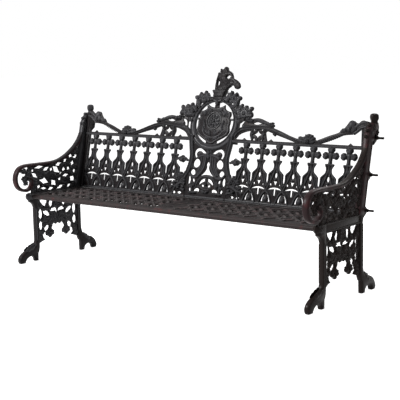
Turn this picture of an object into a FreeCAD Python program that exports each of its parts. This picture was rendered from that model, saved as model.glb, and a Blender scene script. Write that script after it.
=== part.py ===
import FreeCAD, Part
import math
import os

# A cast iron garden bench: two end frames carry a three-part openwork back and a two-part pierced seat.
# Millimetres. X runs along the bench, Y towards its back and Z up from the floor.
# The back is drawn upright on its own plane and then leaned; its heights are true heights above the floor.

# Whole bench
frame_spacing = 2100.0  # end frame to end frame, centre to centre
seat_height = 424.0
seat_thick = 12.0
arm_rise = 190.0  # arm above the seat
stile_rise = 284.0  # stile's head above the arm
back_lean = 12.5  # degrees from upright
back_foot = 445.0  # depth at which the back's plane would meet the floor

# End frame
frame_thick = 32.0
web_thick = 10.0  # openwork under the arm and under the seat
arm_width = 36.0
arm_band = 26.0
leg_depth = 27.0
front_leg = 145.0  # front face of the front leg
rear_leg = 510.0  # front face of the rear leg
toe_reach = 131.0
notch_height = 36.0  # arch between the two toes
scroll_radius = 86.0
scroll_centre = 80.0
arch_height = 214.0
drop_hang = 56.0  # middle of the trefoil drops below the arch's crown
drop_spread = 70.0
rail_rise = 8.0  # side rail above and below the seat's top
rail_drop = 41.0
stile_front = 42.0  # stile in front of and behind the back's plane
stile_rear = 12.0
head_depth = 66.0
finial_height = 50.0
finial_radius = 22.0
knob_radius = 24.0
ledge_reach = 30.0
ledge_thick = 10.0
ledge_start = 172.0
ledge_end = 500.0

# Openwork back
grille_thick = 10.0
rail_thick = 18.0
rail_tall = 14.0
foot_rail_tall = 14.0
foot_rail_lap = 2.0  # bottom rail below the seat's top
baluster_tall = 321.0
baluster_count = 7
first_baluster = 262.0  # from the middle of the bench
post_gap = 69.4  # last baluster to the end post
head_drop = 41.0  # arms of the cross-shaped heads below the top rail
head_stem = 14.0  # half the width of their upper arm
flange_thick = 10.0
flange_post = 14.0
flange_reach = 38.0
swag_rise = 134.0  # above the top rail
rope_radius = 11.0
cluster_thick = 22.0
bud_radius = 18.0

# Centre of the back
upright_offset = 146.0
upright_width = 16.0
crown_lean = 5.0  # degrees that the ring, shield and crest lean back beyond the rest
ring_lift = 85.0  # ring's centre above the top rail
ring_radius = 156.0  # half its height
ring_spread = 22.0  # half its width, beyond half its height
ring_wall = 27.0
bore_spread = 11.0
ring_rise = 11.0  # bore above the ring's own centre
ring_thick = 24.0
ring_front = 4.0  # ring's face in front of the back's plane
shoulder_thick = 20.0
stem_thick = 8.0
shield_thick = 14.0
shield_gap = 12.0  # between the shield's half width and the bore's half height
crest_thick = 36.0
crest_lift = 10.0  # crest's seat above the ring
tenon_width = 16.0
tenon_length = 12.0

# Seat
seat_front = 128.0
roll_radius = 14.0
seat_rear = 522.0
seat_end_gap = 4.0
seat_rim = 40.0
lattice_columns = 8
lattice_rows = 3
lattice_bar = 16.0
rear_rim_thick = 10.0
rear_rim_drop = 12.0
bearer_flange = 40.0
bearer_web = 30.0
bearer_thick = 6.0
front_bearer = 210.0
rear_bearer = 450.0

# Fasteners and fits
bolt_width = 8.0
bolt_clear = 0.4
thread_clear = 0.1
joint_gap = 0.4
stud_reach = 66.0  # uncut studs beyond the right frame
nut_width = 19.0
nut_thick = 9.0
head_width = 17.0
head_thick = 7.0
seat_head_width = 20.0
seat_head_thick = 4.0
seat_bolt_inset = 15.0
screw_width = 5.0
back_bolt_set = 22.0  # behind the back's plane
top_bolt_set = 44.0
joint_set = 24.0
ear_reach = 40.0
ear_thick = 12.0
ear_half = 15.0

along_x = FreeCAD.Vector(1, 0, 0)
along_y = FreeCAD.Vector(0, 1, 0)
along_z = FreeCAD.Vector(0, 0, 1)
origin = FreeCAD.Vector(0, 0, 0)
lean = math.radians(back_lean)
inner_face = frame_spacing / 2 - frame_thick / 2
seat_under = seat_height - seat_thick
ledge_top = seat_under - bearer_thick
drop_height = arch_height - drop_hang
arm_height = seat_height + arm_rise
stile_height = arm_height + stile_rise

# Levels and lengths of the back, each from the one below or beside it
foot_rail = seat_height - foot_rail_lap
rail_under = foot_rail + foot_rail_tall + baluster_tall
rail_top = rail_under + rail_tall
head_level = rail_under - head_drop
swag_top = rail_top + swag_rise
ring_level = rail_top + ring_lift
ring_bore = ring_radius - ring_wall
shield_half = ring_bore - shield_gap
crest_seat = ring_level + ring_radius + crest_lift
back_bolt_levels = (foot_rail + 27, rail_under - 123, swag_top - 77)
back_bolt_sets = (back_bolt_set, back_bolt_set, top_bolt_set)
joint_levels = (foot_rail + 16, rail_under + rail_tall / 2)
wing_start = upright_offset + upright_width / 2 + joint_gap
wing_end = inner_face - flange_thick / 2
end_post = inner_face - flange_thick - flange_post
baluster_pitch = (end_post - post_gap - first_baluster) / (baluster_count - 1)


# Views in which the outlines are drawn
def side(y, z):
    return FreeCAD.Vector(0, y, z)


def upright(x, level):
    return FreeCAD.Vector(x, 0, level / math.cos(lean))


def behind(y, level):
    return FreeCAD.Vector(0, y, level / math.cos(lean))


def plan(x, y):
    return FreeCAD.Vector(x, y, 0)


# Leafwork drawn for a rise of 190 from seat to arm, and of 169 from arch to rail, and stretched to fit
def under_arm(y, rise):
    return side(y, seat_height + rise * arm_rise / 190)


def under_rail(y, rise):
    return side(y, arch_height + rise * (seat_height - rail_drop - arch_height) / 169)


# Along a wing that is drawn 874.6 long, from its inner end
def on_wing(x, level):
    return upright(wing_start + x * (wing_end - wing_start) / 874.6, level)


# Round the ring: degrees from its top, and how far beyond its edge
def round_ring(turn, reach):
    turn, radius = math.radians(turn), ring_radius + reach
    x = (radius + ring_spread) * math.sin(turn)
    return FreeCAD.Vector(x, 0, upright(0, ring_level).z + radius * math.cos(turn))


# On the shield, in hundredths of its half width
def on_shield(x, rise):
    return upright(x * shield_half / 100, ring_level + rise * shield_half / 100)


# Drawing: a step is (a, b) for a straight edge, or (a, b, c, d) for an arc through (a, b) to (c, d)
def edges_along(view, start, *steps):
    edges = []
    here = view(*start)
    for step in steps:
        there = view(*step[-2:])
        if len(step) == 4:
            edges.append(Part.Arc(here, view(*step[:2]), there).toShape())
        elif here.distanceToPoint(there) > 1e-6:
            edges.append(Part.LineSegment(here, there).toShape())
        here = there
    return edges


def outline(view, start, *steps):
    return Part.Wire(edges_along(view, start, *steps, start))


def joined(*edge_lists):
    edges = [edge for edge_list in edge_lists for edge in edge_list]
    return Part.Wire(Part.__sortEdges__(edges))


def leaf(view, centre, length, width, tilt=0.0):
    a, b = centre
    cos, sin = math.cos(math.radians(tilt)), math.sin(math.radians(tilt))
    corners = []
    for along, across in ((0.5, 0), (0.1, 0.5), (-0.4, 0.3), (-0.4, -0.3), (0.1, -0.5)):
        u, v = along * length, across * width
        corners.append((a + cos * u - sin * v, b + sin * u + cos * v))
    return outline(view, *corners)


def many_sided(view, centre, radius, sides):
    turns = [2 * math.pi * (i + 0.5) / sides for i in range(sides)]
    corners = [(centre[0] + radius * math.cos(t), centre[1] + radius * math.sin(t)) for t in turns]
    return outline(view, *corners)


def slab(wires, normal, thick, shift=0.0):
    face = Part.makeFace(wires, "Part::FaceMakerBullseye")
    face.translate(normal * (shift - thick / 2))
    return face.extrude(normal * thick)


def block(low, high):
    size = FreeCAD.Vector(*high) - FreeCAD.Vector(*low)
    return Part.makeBox(size.x, size.y, size.z, FreeCAD.Vector(*low))


def prism(start, direction, length, across, sides):
    radius = across / 2 / math.cos(math.pi / sides)
    solid = Part.Face(many_sided(plan, (0, 0), radius, sides)).extrude(along_z * length)
    solid.Placement = FreeCAD.Placement(start, FreeCAD.Rotation(along_z, direction))
    return solid


def shank(start, direction, length, width=bolt_width):
    return prism(start, direction, length, width, 8)


def tapped_hole(start, direction, length, width=bolt_width):
    return prism(start - direction, direction, length + 2, width + 2 * thread_clear, 8)


def cored_hole(start, direction, length, width=bolt_width):
    return prism(start - direction, direction, length + 2, width + 2 * bolt_clear, 4)


def turned_bud(centre, base, rings, sides=8):
    loops = []
    for rise, radius in rings:
        loop = many_sided(plan, centre, radius, sides)
        loop.translate(along_z * (base + rise))
        loops.append([vertex.Point for vertex in loop.OrderedVertexes])
    faces = [Part.Face(Part.makePolygon(loop + loop[:1])) for loop in (loops[0], loops[-1])]
    for low, high in zip(loops, loops[1:]):
        for i in range(sides):
            faces.append(Part.Face(Part.makePolygon([low[i - 1], low[i], high[i], high[i - 1], low[i - 1]])))
    return Part.makeSolid(Part.makeShell(faces))


def one_casting(first, *others):
    return first.fuse(list(others)).removeSplitter()


def leaned(shape):
    shape.rotate(origin, along_x, -back_lean)
    shape.translate(along_y * back_foot)
    return shape


# What stands above the top rail leans further, about the rail
def tipped(shape):
    shape.rotate(upright(0, rail_top), along_x, -crown_lean)
    return shape


def back_depth(z):
    return back_foot + z * math.tan(lean)


def back_bolt_axes():
    return [behind(y, level) for level, y in zip(back_bolt_levels, back_bolt_sets)]


def mirrored(shape):
    return shape.mirror(origin, along_x)


# End frame, drawn about its own middle plane; its inner side faces -X
def front_leg_slab():
    y = front_leg
    rail = seat_height - rail_drop
    wire = outline(
        side,
        (y + 11, 0),
        (y - 13, 0),
        (y - 22, notch_height - 10, y - 50, notch_height),
        (y - 84, notch_height - 10, y - 99, 0),
        (y - toe_reach, 0),
        (y - toe_reach - 9, 18),
        (y - toe_reach - 2, 42),
        (y - 100, 68, y - 53, 84),
        (y - 13, 98, y, 130),
        (y, rail - 49),
        (y - 6, rail - 29),
        (y - 23, rail - 17),
        (y - 37, rail - 3),
        (y - 30, seat_height + rail_rise),
        (y + leg_depth, seat_height + rail_rise),
        (y + leg_depth, 100),
        (y + 21, 54),
        (y + 13, 50),
    )
    return slab([wire], along_x, frame_thick)


def rear_leg_and_stile():
    y = rear_leg
    head = back_bolt_levels[2]
    shoulder = head - 28
    wire = outline(
        side,
        (y + 25, 0),
        (y + 50, 0),
        (y + 62, notch_height - 8, y + 88, notch_height + 2),
        (y + 118, notch_height - 6, y + 130, 0),
        (y + 158, 0),
        (y + 168, 18),
        (y + 158, 42),
        (y + 130, 78, y + 88, 92),
        (y + 46, 102, y + leg_depth + 4, 140),
        (y + leg_depth, seat_height - rail_drop),
        (back_depth(seat_height) + stile_rear, seat_height + 10),
        (back_depth(shoulder) + stile_rear, shoulder),
        (back_depth(head) + head_depth, head),
        (back_depth(stile_height - 24) + head_depth - 2, stile_height - 24),
        (back_depth(stile_height) + head_depth - 14, stile_height),
        (back_depth(stile_height) - stile_front - 6, stile_height),
        (back_depth(stile_height - 48) - stile_front - 2, stile_height - 48),
        (back_depth(seat_height) - stile_front, seat_height),
        (y, seat_height - rail_drop),
        (y, 130),
        (y + 4, 100),
        (y + 14, 72),
        (y + 23, 66),
    )
    return slab([wire], along_x, frame_thick)


def arm_slab():
    top = arm_height
    under = arm_height - arm_band
    y, z = scroll_centre, arm_height - scroll_radius
    outer, inner = scroll_radius, scroll_radius - arm_band
    stile = back_depth(top + 186) - stile_front
    wire = outline(
        side,
        (stile + 8, top + 186),
        (stile - 60, top + 88, stile - 156, top + 30),
        (stile - 212, top + 7, stile - 270, top),
        (y, top),
        (y - outer, z, y, z - outer),
        (y + 43, z - outer + 18, y + outer - 25, z - 25),
        (y + outer - 25 - arm_band, z - 25),
        (y + 25, z - inner + 10, y, z - inner),
        (y - inner, z, y, under),
        (stile - 280, under),
        (stile - 208, under + 9, stile - 146, under + 36),
        (stile - 66, under + 88, stile + 2, under + 160),
        (stile + 30, top + 186),
    )
    return slab([wire], along_x, arm_width)


# Openings of the leafwork: depth, height, length, width and tilt of each
def arm_web():
    stile = back_depth(arm_height + 186) - stile_front
    wire = outline(
        side,
        (front_leg - 20, seat_height),
        (front_leg - 16, arm_height - 112),
        (front_leg - 26, arm_height - 68),
        (front_leg - 42, arm_height - 16),
        (stile - 259, arm_height - 16),
        (stile - 139, arm_height + 14),
        (stile - 25, arm_height + 128),
        (stile + 5, arm_height + 128),
        (rear_leg + 20, seat_height),
    )
    openings = (
        (55, 164, 74, 18, 0),
        (115, 142, 54, 22, 15),
        (16, 112, 60, 18, -38),
        (96, 72, 74, 30, -20),
        (220, 164, 44, 20, 15),
        (200, 132, 64, 26, -40),
        (180, 48, 50, 38, -50),
        (280, 122, 30, 44, 0),
        (280, 86, 48, 18, 8),
        (345, 157, 40, 22, 70),
        (335, 210, 34, 24, 60),
        (375, 200, 40, 28, 20),
        (340, 56, 54, 28, -40),
        (230, 22, 70, 24, 20),
        (120, 24, 44, 16, 15),
    )
    holes = [leaf(under_arm, (front_leg + y, z), size, width, tilt) for y, z, size, width, tilt in openings]
    curl = leaf(side, (scroll_centre + 22, arm_height - scroll_radius - 8), 84, 62, 30)
    return slab([wire] + holes, along_x, web_thick).fuse(slab([curl], along_x, web_thick + 8))


def arch_web():
    middle = (front_leg + rear_leg + leg_depth) / 2
    rail = seat_height - rail_drop
    drop = middle - drop_spread
    front = front_leg + leg_depth
    half = [
        (front + 33, 112),
        (front + 60, 121),
        (front + 42, 133),
        (front + 38, 150),
        (front + 52, drop_height + 8),
        (drop - 34, drop_height + 6),
        (drop - 36, drop_height - 6),
        (drop - 26, drop_height - 16),
        (drop - 16, drop_height - 10),
        (drop - 10, drop_height - 24),
        (drop, drop_height - 28),
        (drop + 10, drop_height - 24),
        (drop + 16, drop_height - 10),
        (drop + 26, drop_height - 16),
        (drop + 36, drop_height - 6),
        (drop + 34, drop_height + 8),
        (drop + 16, drop_height + 28),
        (drop + 22, arch_height - 10),
        (drop + 36, arch_height + 2),
        (drop + 52, arch_height - 8),
    ]
    far = [(2 * middle - y, z) for y, z in reversed(half)]
    wire = outline(
        side,
        (front - 8, rail + 10),
        (front - 8, 100),
        *half,
        (middle, arch_height),
        *far,
        (2 * middle - front + 8, 100),
        (2 * middle - front + 8, rail + 10),
    )
    openings = (
        (-121, 143, 64, 30, 12),
        (-48, 133, 40, 24, 60),
        (-42, 74, 66, 20, 16),
        (-98, 76, 50, 16, -30),
        (-148, 76, 58, 24, 90),
        (-146, 10, 36, 28, 90),
        (-92, -24, 44, 24, 35),
    )
    holes = []
    for y, z, size, width, tilt in openings:
        holes.append(leaf(under_rail, (middle + y, z), size, width, tilt))
        holes.append(leaf(under_rail, (middle - y, z), size, width, -tilt))
    return slab([wire] + holes, along_x, web_thick)


def end_frame():
    rail = slab(
        [
            outline(
                side,
                (front_leg + 4, seat_height - rail_drop),
                (rear_leg + leg_depth - 4, seat_height - rail_drop),
                (rear_leg + leg_depth - 4, seat_height + rail_rise),
                (front_leg + 4, seat_height + rail_rise),
            )
        ],
        along_x,
        frame_thick,
    )
    knob_place = (front_leg - 37, seat_height - 14)
    knob = slab([many_sided(side, knob_place, knob_radius, 12)], along_x, arm_width + 2)
    neck = finial_radius - 7
    bud = ((-2, neck), (8, neck - 2), (27, finial_radius), (finial_height, finial_radius - 12))
    finial = turned_bud((0, back_depth(stile_height) + 8), stile_height, bud)
    crockets = []
    for drop in (20, 48, 76):
        z = stile_height - drop
        place = (back_depth(z) - stile_front - 4, z)
        crockets.append(slab([many_sided(side, place, 12, 6)], along_x, frame_thick - 8))
    low = (-frame_thick / 2 - ledge_reach, ledge_start, ledge_top - ledge_thick)
    ledge = block(low, (0, ledge_end, ledge_top))
    lugs = []
    for axis in back_bolt_axes():
        centre = leaned(Part.Vertex(axis)).Point
        y, z = centre.y, centre.z
        wire = outline(side, (y - 24, z - 36), (y + 14, z - 8), (y + 14, z + 8), (y - 24, z + 34))
        lugs.append(slab([wire], along_x, frame_thick))
    casting = one_casting(
        front_leg_slab(), rear_leg_and_stile(), arm_slab(), rail, arm_web(), arch_web(),
        knob, finial, ledge, *crockets, *lugs
    )
    cuts = []
    for axis in back_bolt_axes():
        cuts.append(leaned(cored_hole(axis - along_x * frame_thick / 2, along_x, frame_thick)))
    for y in (front_bearer, rear_bearer):
        start = FreeCAD.Vector(-frame_thick / 2 - seat_bolt_inset, y, ledge_top - ledge_thick)
        cuts.append(tapped_hole(start, along_z, ledge_thick))
    return casting.cut(cuts)


# Right back wing
def bay_side(place):
    half = baluster_pitch / 2
    level = head_level
    return edges_along(
        place,
        (head_stem, rail_under),
        (head_stem, level + 14),
        (34, level + 17),
        (48, level),
        (34, level - 17),
        (11, level - 15),
        (11, level - 34),
        (26, level - 37),
        (14, level - 54),
        (18, level - 90),
        (45, level - 124),
        (half, level - 178),
    )


def bay(left, right):
    near = bay_side(lambda u, level: upright(left + u, level))
    far = bay_side(lambda u, level: upright(right - u, level))
    top = edges_along(upright, (left + head_stem, rail_under), (right - head_stem, rail_under))
    return joined(near, far, top)


def baluster_openings(x):
    level = head_level
    eye = outline(upright, (x, level - 110), (x + 7, level - 130), (x, level - 146), (x - 7, level - 130))
    cusp = outline(upright, (x - 12, level - 154), (x + 12, level - 154), (x, level - 177))
    slit = outline(
        upright,
        (x - 43, level - 204),
        (x - 22, level - 192),
        (x + 22, level - 192),
        (x + 43, level - 204),
        (x + 5, level - 202),
        (x + 4, foot_rail + 58),
        (x - 4, foot_rail + 58),
        (x - 5, level - 202),
    )
    return [eye, cusp, slit]


def ball_openings(x):
    z = foot_rail + foot_rail_tall + 18
    shapes = []
    for sign in (-1, 1):
        shapes.append(
            outline(
                upright,
                (x + sign * 5, z + 30),
                (x + sign * 22, z - 12),
                (x + sign * 32, z - 12),
            )
        )
    return shapes


def grille():
    last = first_baluster + (baluster_count - 1) * baluster_pitch
    inner_side = bay_side(lambda u, level: upright(first_baluster - u, level))
    tip = (first_baluster - baluster_pitch / 2, head_level - 178)
    border = edges_along(
        upright,
        (first_baluster - head_stem, rail_under),
        (wing_start, rail_under),
        (wing_start, rail_top),
        (wing_end, rail_top),
        (wing_end, foot_rail),
        (wing_start, foot_rail),
        (wing_start, head_level - 190),
        (wing_start + 16, head_level - 162),
        (tip[0] - 16, head_level - 162),
        tip,
    )
    wires = [joined(border, inner_side)]
    for i in range(baluster_count):
        x = first_baluster + i * baluster_pitch
        wires += baluster_openings(x)
        if i < baluster_count - 1:
            wires.append(bay(x, x + baluster_pitch))
            wires += ball_openings(x + baluster_pitch / 2)
    half = baluster_pitch / 2
    outer_side = bay_side(lambda u, level: upright(last + u, level))
    post_side = edges_along(
        upright,
        (last + head_stem, rail_under),
        (end_post, rail_under),
        (end_post, head_level - 178),
        (last + half, head_level - 178),
    )
    wires.append(joined(outer_side, post_side))
    return slab(wires, along_y, grille_thick)


def swag():
    base = rail_top - 6
    wire = outline(
        on_wing,
        (875, base),
        (875, swag_top),
        (846, swag_top + 5),
        (822, swag_top - 11),
        (796, swag_top - 6),
        (770, swag_top - 3),
        (752, swag_top - 24),
        (720, swag_top - 54),
        (571, swag_top - 110),
        (546, swag_top - 84),
        (516, swag_top - 78),
        (488, swag_top - 94),
        (446, swag_top - 106),
        (284, swag_top - 58),
        (276, swag_top - 40),
        (221, swag_top - 16),
        (171, swag_top - 3),
        (126, swag_top - 8),
        (82, swag_top - 4),
        (48, swag_top - 10),
        (32, swag_top - 25),
        (33, swag_top - 49),
        (31, swag_top - 75),
        (24, swag_top - 95),
        (13, swag_top - 118),
        (4, base),
    )
    sill = rail_top + 5
    outer_gap = outline(
        on_wing,
        (590, sill),
        (662, swag_top - 100),
        (740, swag_top - 76),
        (792, swag_top - 70),
        (844, swag_top - 40),
        (852, sill),
    )
    inner_gap = outline(
        on_wing,
        (432, sill),
        (346, swag_top - 104),
        (290, swag_top - 89),
        (246, swag_top - 75),
        (234, swag_top - 80),
        (235, swag_top - 98),
        (246, sill),
    )
    star = outline(
        on_wing,
        (178, swag_top - 70),
        (185, swag_top - 88),
        (199, swag_top - 96),
        (185, swag_top - 104),
        (178, swag_top - 118),
        (171, swag_top - 104),
        (157, swag_top - 96),
        (171, swag_top - 88),
    )
    spandrel = outline(
        on_wing,
        (134, sill),
        (121, swag_top - 94),
        (126, swag_top - 76),
        (84, swag_top - 85),
        (44, swag_top - 101),
        (24, sill + 2),
    )
    slits = [
        leaf(on_wing, (58, swag_top - 48), 30, 24, 120),
        leaf(on_wing, (168, swag_top - 32), 60, 12, 4),
    ]
    plate = slab([wire, outer_gap, inner_gap, star, spandrel] + slits, along_y, grille_thick)
    ropes = []
    for start, stop in (((728, 66), (576, 120)), ((450, 116), (276, 66))):
        low = on_wing(start[0], swag_top - start[1])
        high = on_wing(stop[0], swag_top - stop[1])
        ropes.append(prism(low, (high - low).normalize(), low.distanceToPoint(high), 2 * rope_radius, 8))
    leaves = leaf(on_wing, (514, swag_top - 103), 112, 46)
    curl = many_sided(on_wing, (776, swag_top - 32), 24, 10)
    bosses = [slab([wire], along_y, cluster_thick) for wire in (leaves, curl)]
    return plate.fuse(ropes + bosses)


def flange():
    wire = outline(
        behind,
        (-rail_thick / 2, foot_rail),
        (flange_reach, foot_rail),
        (flange_reach, back_bolt_levels[2] - 40),
        (back_bolt_sets[2] + 16, back_bolt_levels[2] - 16),
        (back_bolt_sets[2] + 16, back_bolt_levels[2] + 16),
        (flange_reach - 8, swag_top),
        (-rail_thick / 2, swag_top),
    )
    return slab([wire], along_x, flange_thick, inner_face - flange_thick / 2)


def ears(start):
    shapes = []
    for level in joint_levels:
        middle = behind(0, level).z
        low = (start, grille_thick / 2 - 1, middle - ear_half)
        shapes.append(block(low, (start + ear_thick, ear_reach, middle + ear_half)))
    return shapes


def joint_holes(start, hole):
    return [hole(behind(joint_set, level) + along_x * start, along_x, ear_thick) for level in joint_levels]


def long_rail(start, stop, level, tall):
    low = (start, -rail_thick / 2, upright(0, level).z)
    return block(low, (stop, rail_thick / 2, upright(0, level + tall).z))


def back_wing():
    rails = [
        long_rail(wing_start, wing_end, rail_under, rail_tall),
        long_rail(wing_start, wing_end, foot_rail, foot_rail_tall),
    ]
    bud_place = (first_baluster - 52, head_level - 70)
    bud = slab([many_sided(upright, bud_place, bud_radius, 8)], along_y, cluster_thick)
    stalk_wire = outline(
        upright,
        (first_baluster - 48, head_level - 78),
        (first_baluster - 8, head_level - 68),
        (first_baluster - 8, head_level - 52),
        (first_baluster - 48, head_level - 62),
    )
    stalk = slab([stalk_wire], along_y, grille_thick)
    points = []
    for x in (first_baluster + 1.45 * baluster_pitch, first_baluster + 6 * baluster_pitch):
        wire = outline(upright, (x - 26, rail_top - 2), (x, rail_top + 14), (x + 26, rail_top - 2))
        points.append(slab([wire], along_y, grille_thick))
    casting = one_casting(grille(), swag(), flange(), bud, stalk, *rails, *points, *ears(wing_start))
    cuts = joint_holes(wing_start, cored_hole)
    for axis in back_bolt_axes():
        cuts.append(tapped_hole(axis + along_x * (inner_face - flange_thick), along_x, flange_thick))
    return leaned(casting.cut(cuts))


# Centre of the back
def centre_tracery():
    end = upright_offset
    top = ring_level - ring_radius
    border = outline(upright, (-end, foot_rail), (end, foot_rail), (end, top + 40), (-end, top + 40))
    pointed = outline(
        upright,
        (-52, top - 147),
        (-16, top - 126),
        (0, top - 98),
        (16, top - 126),
        (52, top - 147),
    )
    holes = [pointed, leaf(upright, (0, top - 72), 46, 24, 90)]
    openings = (
        (90, 80, 70, 50, 90),
        (110, 130, 48, 40, 70),
        (122, 180, 54, 22, 80),
        (70, 10, 84, 32, 10),
        (26, 188, 38, 20, -35),
        (70, 232, 54, 20, 15),
    )
    for x, drop, size, width, tilt in openings:
        holes.append(leaf(upright, (x, top - drop), size, width, tilt))
        holes.append(leaf(upright, (-x, top - drop), size, width, -tilt))
    return slab([border] + holes, along_y, grille_thick)


def shoulder():
    wire = outline(
        round_ring,
        (21, -3),
        (22, 40),
        (24, 66),
        (29, 58),
        (33, 69),
        (38, 58),
        (42, 68),
        (47, 56),
        (51, 36),
        (54, 52),
        (59, 62),
        (61, 88),
        (65, 106),
        (68, 90),
        (72, 100),
        (76, 92),
        (75, 47),
        (73, 16),
        (60, -5),
    )
    return slab([wire], along_y, shoulder_thick, -ring_front + shoulder_thick / 2 - 4)


def shield_stems():
    reach = ring_bore + bore_spread + 8
    top, foot = ring_level + ring_bore + 14, ring_level - ring_bore
    edge = shield_half - 23
    low, high = ring_level + 4, ring_level + 24
    stems = [
        outline(upright, (-16, top - 64), (16, top - 64), (16, top), (-16, top)),
        outline(upright, (-40, foot), (40, foot), (40, foot + 54), (-40, foot + 54)),
        outline(upright, (edge, low), (reach, low), (reach, high), (edge, high)),
    ]
    slabs = [slab([wire], along_y, stem_thick, stem_thick / 2) for wire in stems]
    return slabs + [mirrored(slabs[-1])]


def shield_screw_places():
    return [on_shield(x, rise) for x, rise in ((0, 80), (0, -76), (88, 12), (-88, 12))]


def oval(half_width, half_height):
    corners = []
    for i in range(36):
        turn = math.radians(10 * i)
        corners.append((half_width * math.sin(turn), half_height * math.cos(turn)))
    wire = outline(lambda x, z: FreeCAD.Vector(x, 0, z), *corners)
    wire.translate(upright(0, ring_level))
    return wire


def back_centre():
    ring_shift = ring_thick / 2 - ring_front
    rim = oval(ring_radius + ring_spread, ring_radius)
    bore = oval(ring_bore + bore_spread, ring_bore)
    bore.translate(along_z * ring_rise)
    ring = slab([rim, bore], along_y, ring_thick, ring_shift)
    bars = []
    for x in (-upright_offset, upright_offset):
        low = (x - upright_width / 2, -rail_thick / 2, upright(0, foot_rail).z)
        high = (x + upright_width / 2, rail_thick / 2, upright(0, rail_top + 15).z)
        bars.append(block(low, high))
    foot = long_rail(-upright_offset, upright_offset, foot_rail, foot_rail_tall)
    pad_low = (-36, -ring_front, upright(0, crest_seat - 24).z)
    pad = block(pad_low, (36, ring_thick - ring_front, upright(0, crest_seat).z))
    ear_start = wing_start - joint_gap - ear_thick
    right_ears = ears(ear_start)
    left_ears = [mirrored(ear) for ear in right_ears]
    crown = [tipped(shape) for shape in (pad, shoulder(), mirrored(shoulder()), *shield_stems())]
    casting = one_casting(tipped(ring), centre_tracery(), foot, *bars, *right_ears, *left_ears, *crown)
    right_holes = joint_holes(ear_start, tapped_hole)
    seat = upright(0, crest_seat) + along_y * ring_shift
    pin = seat - along_z * (tenon_length / 2) - along_y * ring_thick
    crown_holes = [
        cored_hole(seat - along_z * tenon_length, along_z, tenon_length, tenon_width),
        tapped_hole(pin, along_y, 2 * ring_thick, screw_width),
    ]
    for place in shield_screw_places():
        crown_holes.append(cored_hole(place, along_y, stem_thick, screw_width))
    cuts = right_holes + [mirrored(hole) for hole in right_holes] + [tipped(hole) for hole in crown_holes]
    return leaned(casting.cut(cuts))


def shield():
    half = ((0, 90), (52, 98), (56, 80), (92, 66), (99, 10), (93, -34), (74, -66), (40, -86))
    left = [(-x, rise) for x, rise in reversed(half[1:])]
    wire = outline(on_shield, *half, (0, -94), *left)
    plate = slab([wire], along_y, shield_thick, -shield_thick / 2)
    disc = many_sided(on_shield, (0, 14), 43, 14)
    boss = slab([disc], along_y, shield_thick, -shield_thick / 2 - 6)
    casting = one_casting(plate, boss)
    cuts = []
    for place in shield_screw_places():
        start = place - along_y * (shield_thick - 5)
        cuts.append(tapped_hole(start, along_y, shield_thick, screw_width))
    return leaned(tipped(casting.cut(cuts)))


def shield_screws():
    screws = []
    for place in shield_screw_places():
        start = place - along_y * (shield_thick - 5)
        stem = shank(start, along_y, shield_thick - 4 + stem_thick, screw_width)
        head = prism(place + along_y * stem_thick, along_y, 3, 2 * screw_width, 6)
        screws.append(leaned(tipped(one_casting(head, stem))))
    return Part.makeCompound(screws)


def crest_head():
    base = crest_seat
    profile = outline(
        upright,
        (-36, base + 36),
        (-40, base + 78),
        (-36, base + 138),
        (-18, base + 144),
        (-16, base + 170),
        (6, base + 164),
        (22, base + 179),
        (34, base + 172),
        (40, base + 154),
        (60, base + 148),
        (80, base + 130),
        (98, base + 104),
        (128, base + 88),
        (143, base + 72),
        (140, base + 58),
        (124, base + 49),
        (106, base + 52),
        (84, base + 70),
        (64, base + 58),
        (42, base + 36),
    )
    eye = leaf(upright, (50, base + 119), 32, 15, 0)
    mane = leaf(upright, (-17, base + 84), 44, 12, 98)
    head = slab([profile, eye, mane], along_y, crest_thick)
    taper = outline(
        plan,
        (-60, -crest_thick / 2),
        (70, -crest_thick / 2),
        (160, -crest_thick / 4),
        (160, crest_thick / 4),
        (70, crest_thick / 2),
        (-60, crest_thick / 2),
    )
    shaped = head.common(Part.Face(taper).extrude(along_z * 2000))
    collar = outline(
        upright,
        (-38, base),
        (38, base),
        (32, base + 14),
        (46, base + 32),
        (46, base + 40),
        (-46, base + 40),
        (-46, base + 32),
        (-32, base + 14),
    )
    neck = slab([collar], along_y, crest_thick)
    seat = upright(0, base)
    tenon = prism(seat - along_z * tenon_length, along_z, tenon_length + 4, tenon_width, 4)
    pin = seat - along_z * (tenon_length / 2) - along_y * ring_thick
    casting = one_casting(shaped, neck, tenon).cut(tapped_hole(pin, along_y, 2 * ring_thick, screw_width))
    casting.translate(along_y * (ring_thick / 2 - ring_front))
    return leaned(tipped(casting))


def crest_pin():
    seat = upright(0, crest_seat) - along_z * (tenon_length / 2)
    return leaned(tipped(shank(seat - along_y * ring_front, along_y, ring_thick, screw_width)))


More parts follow.
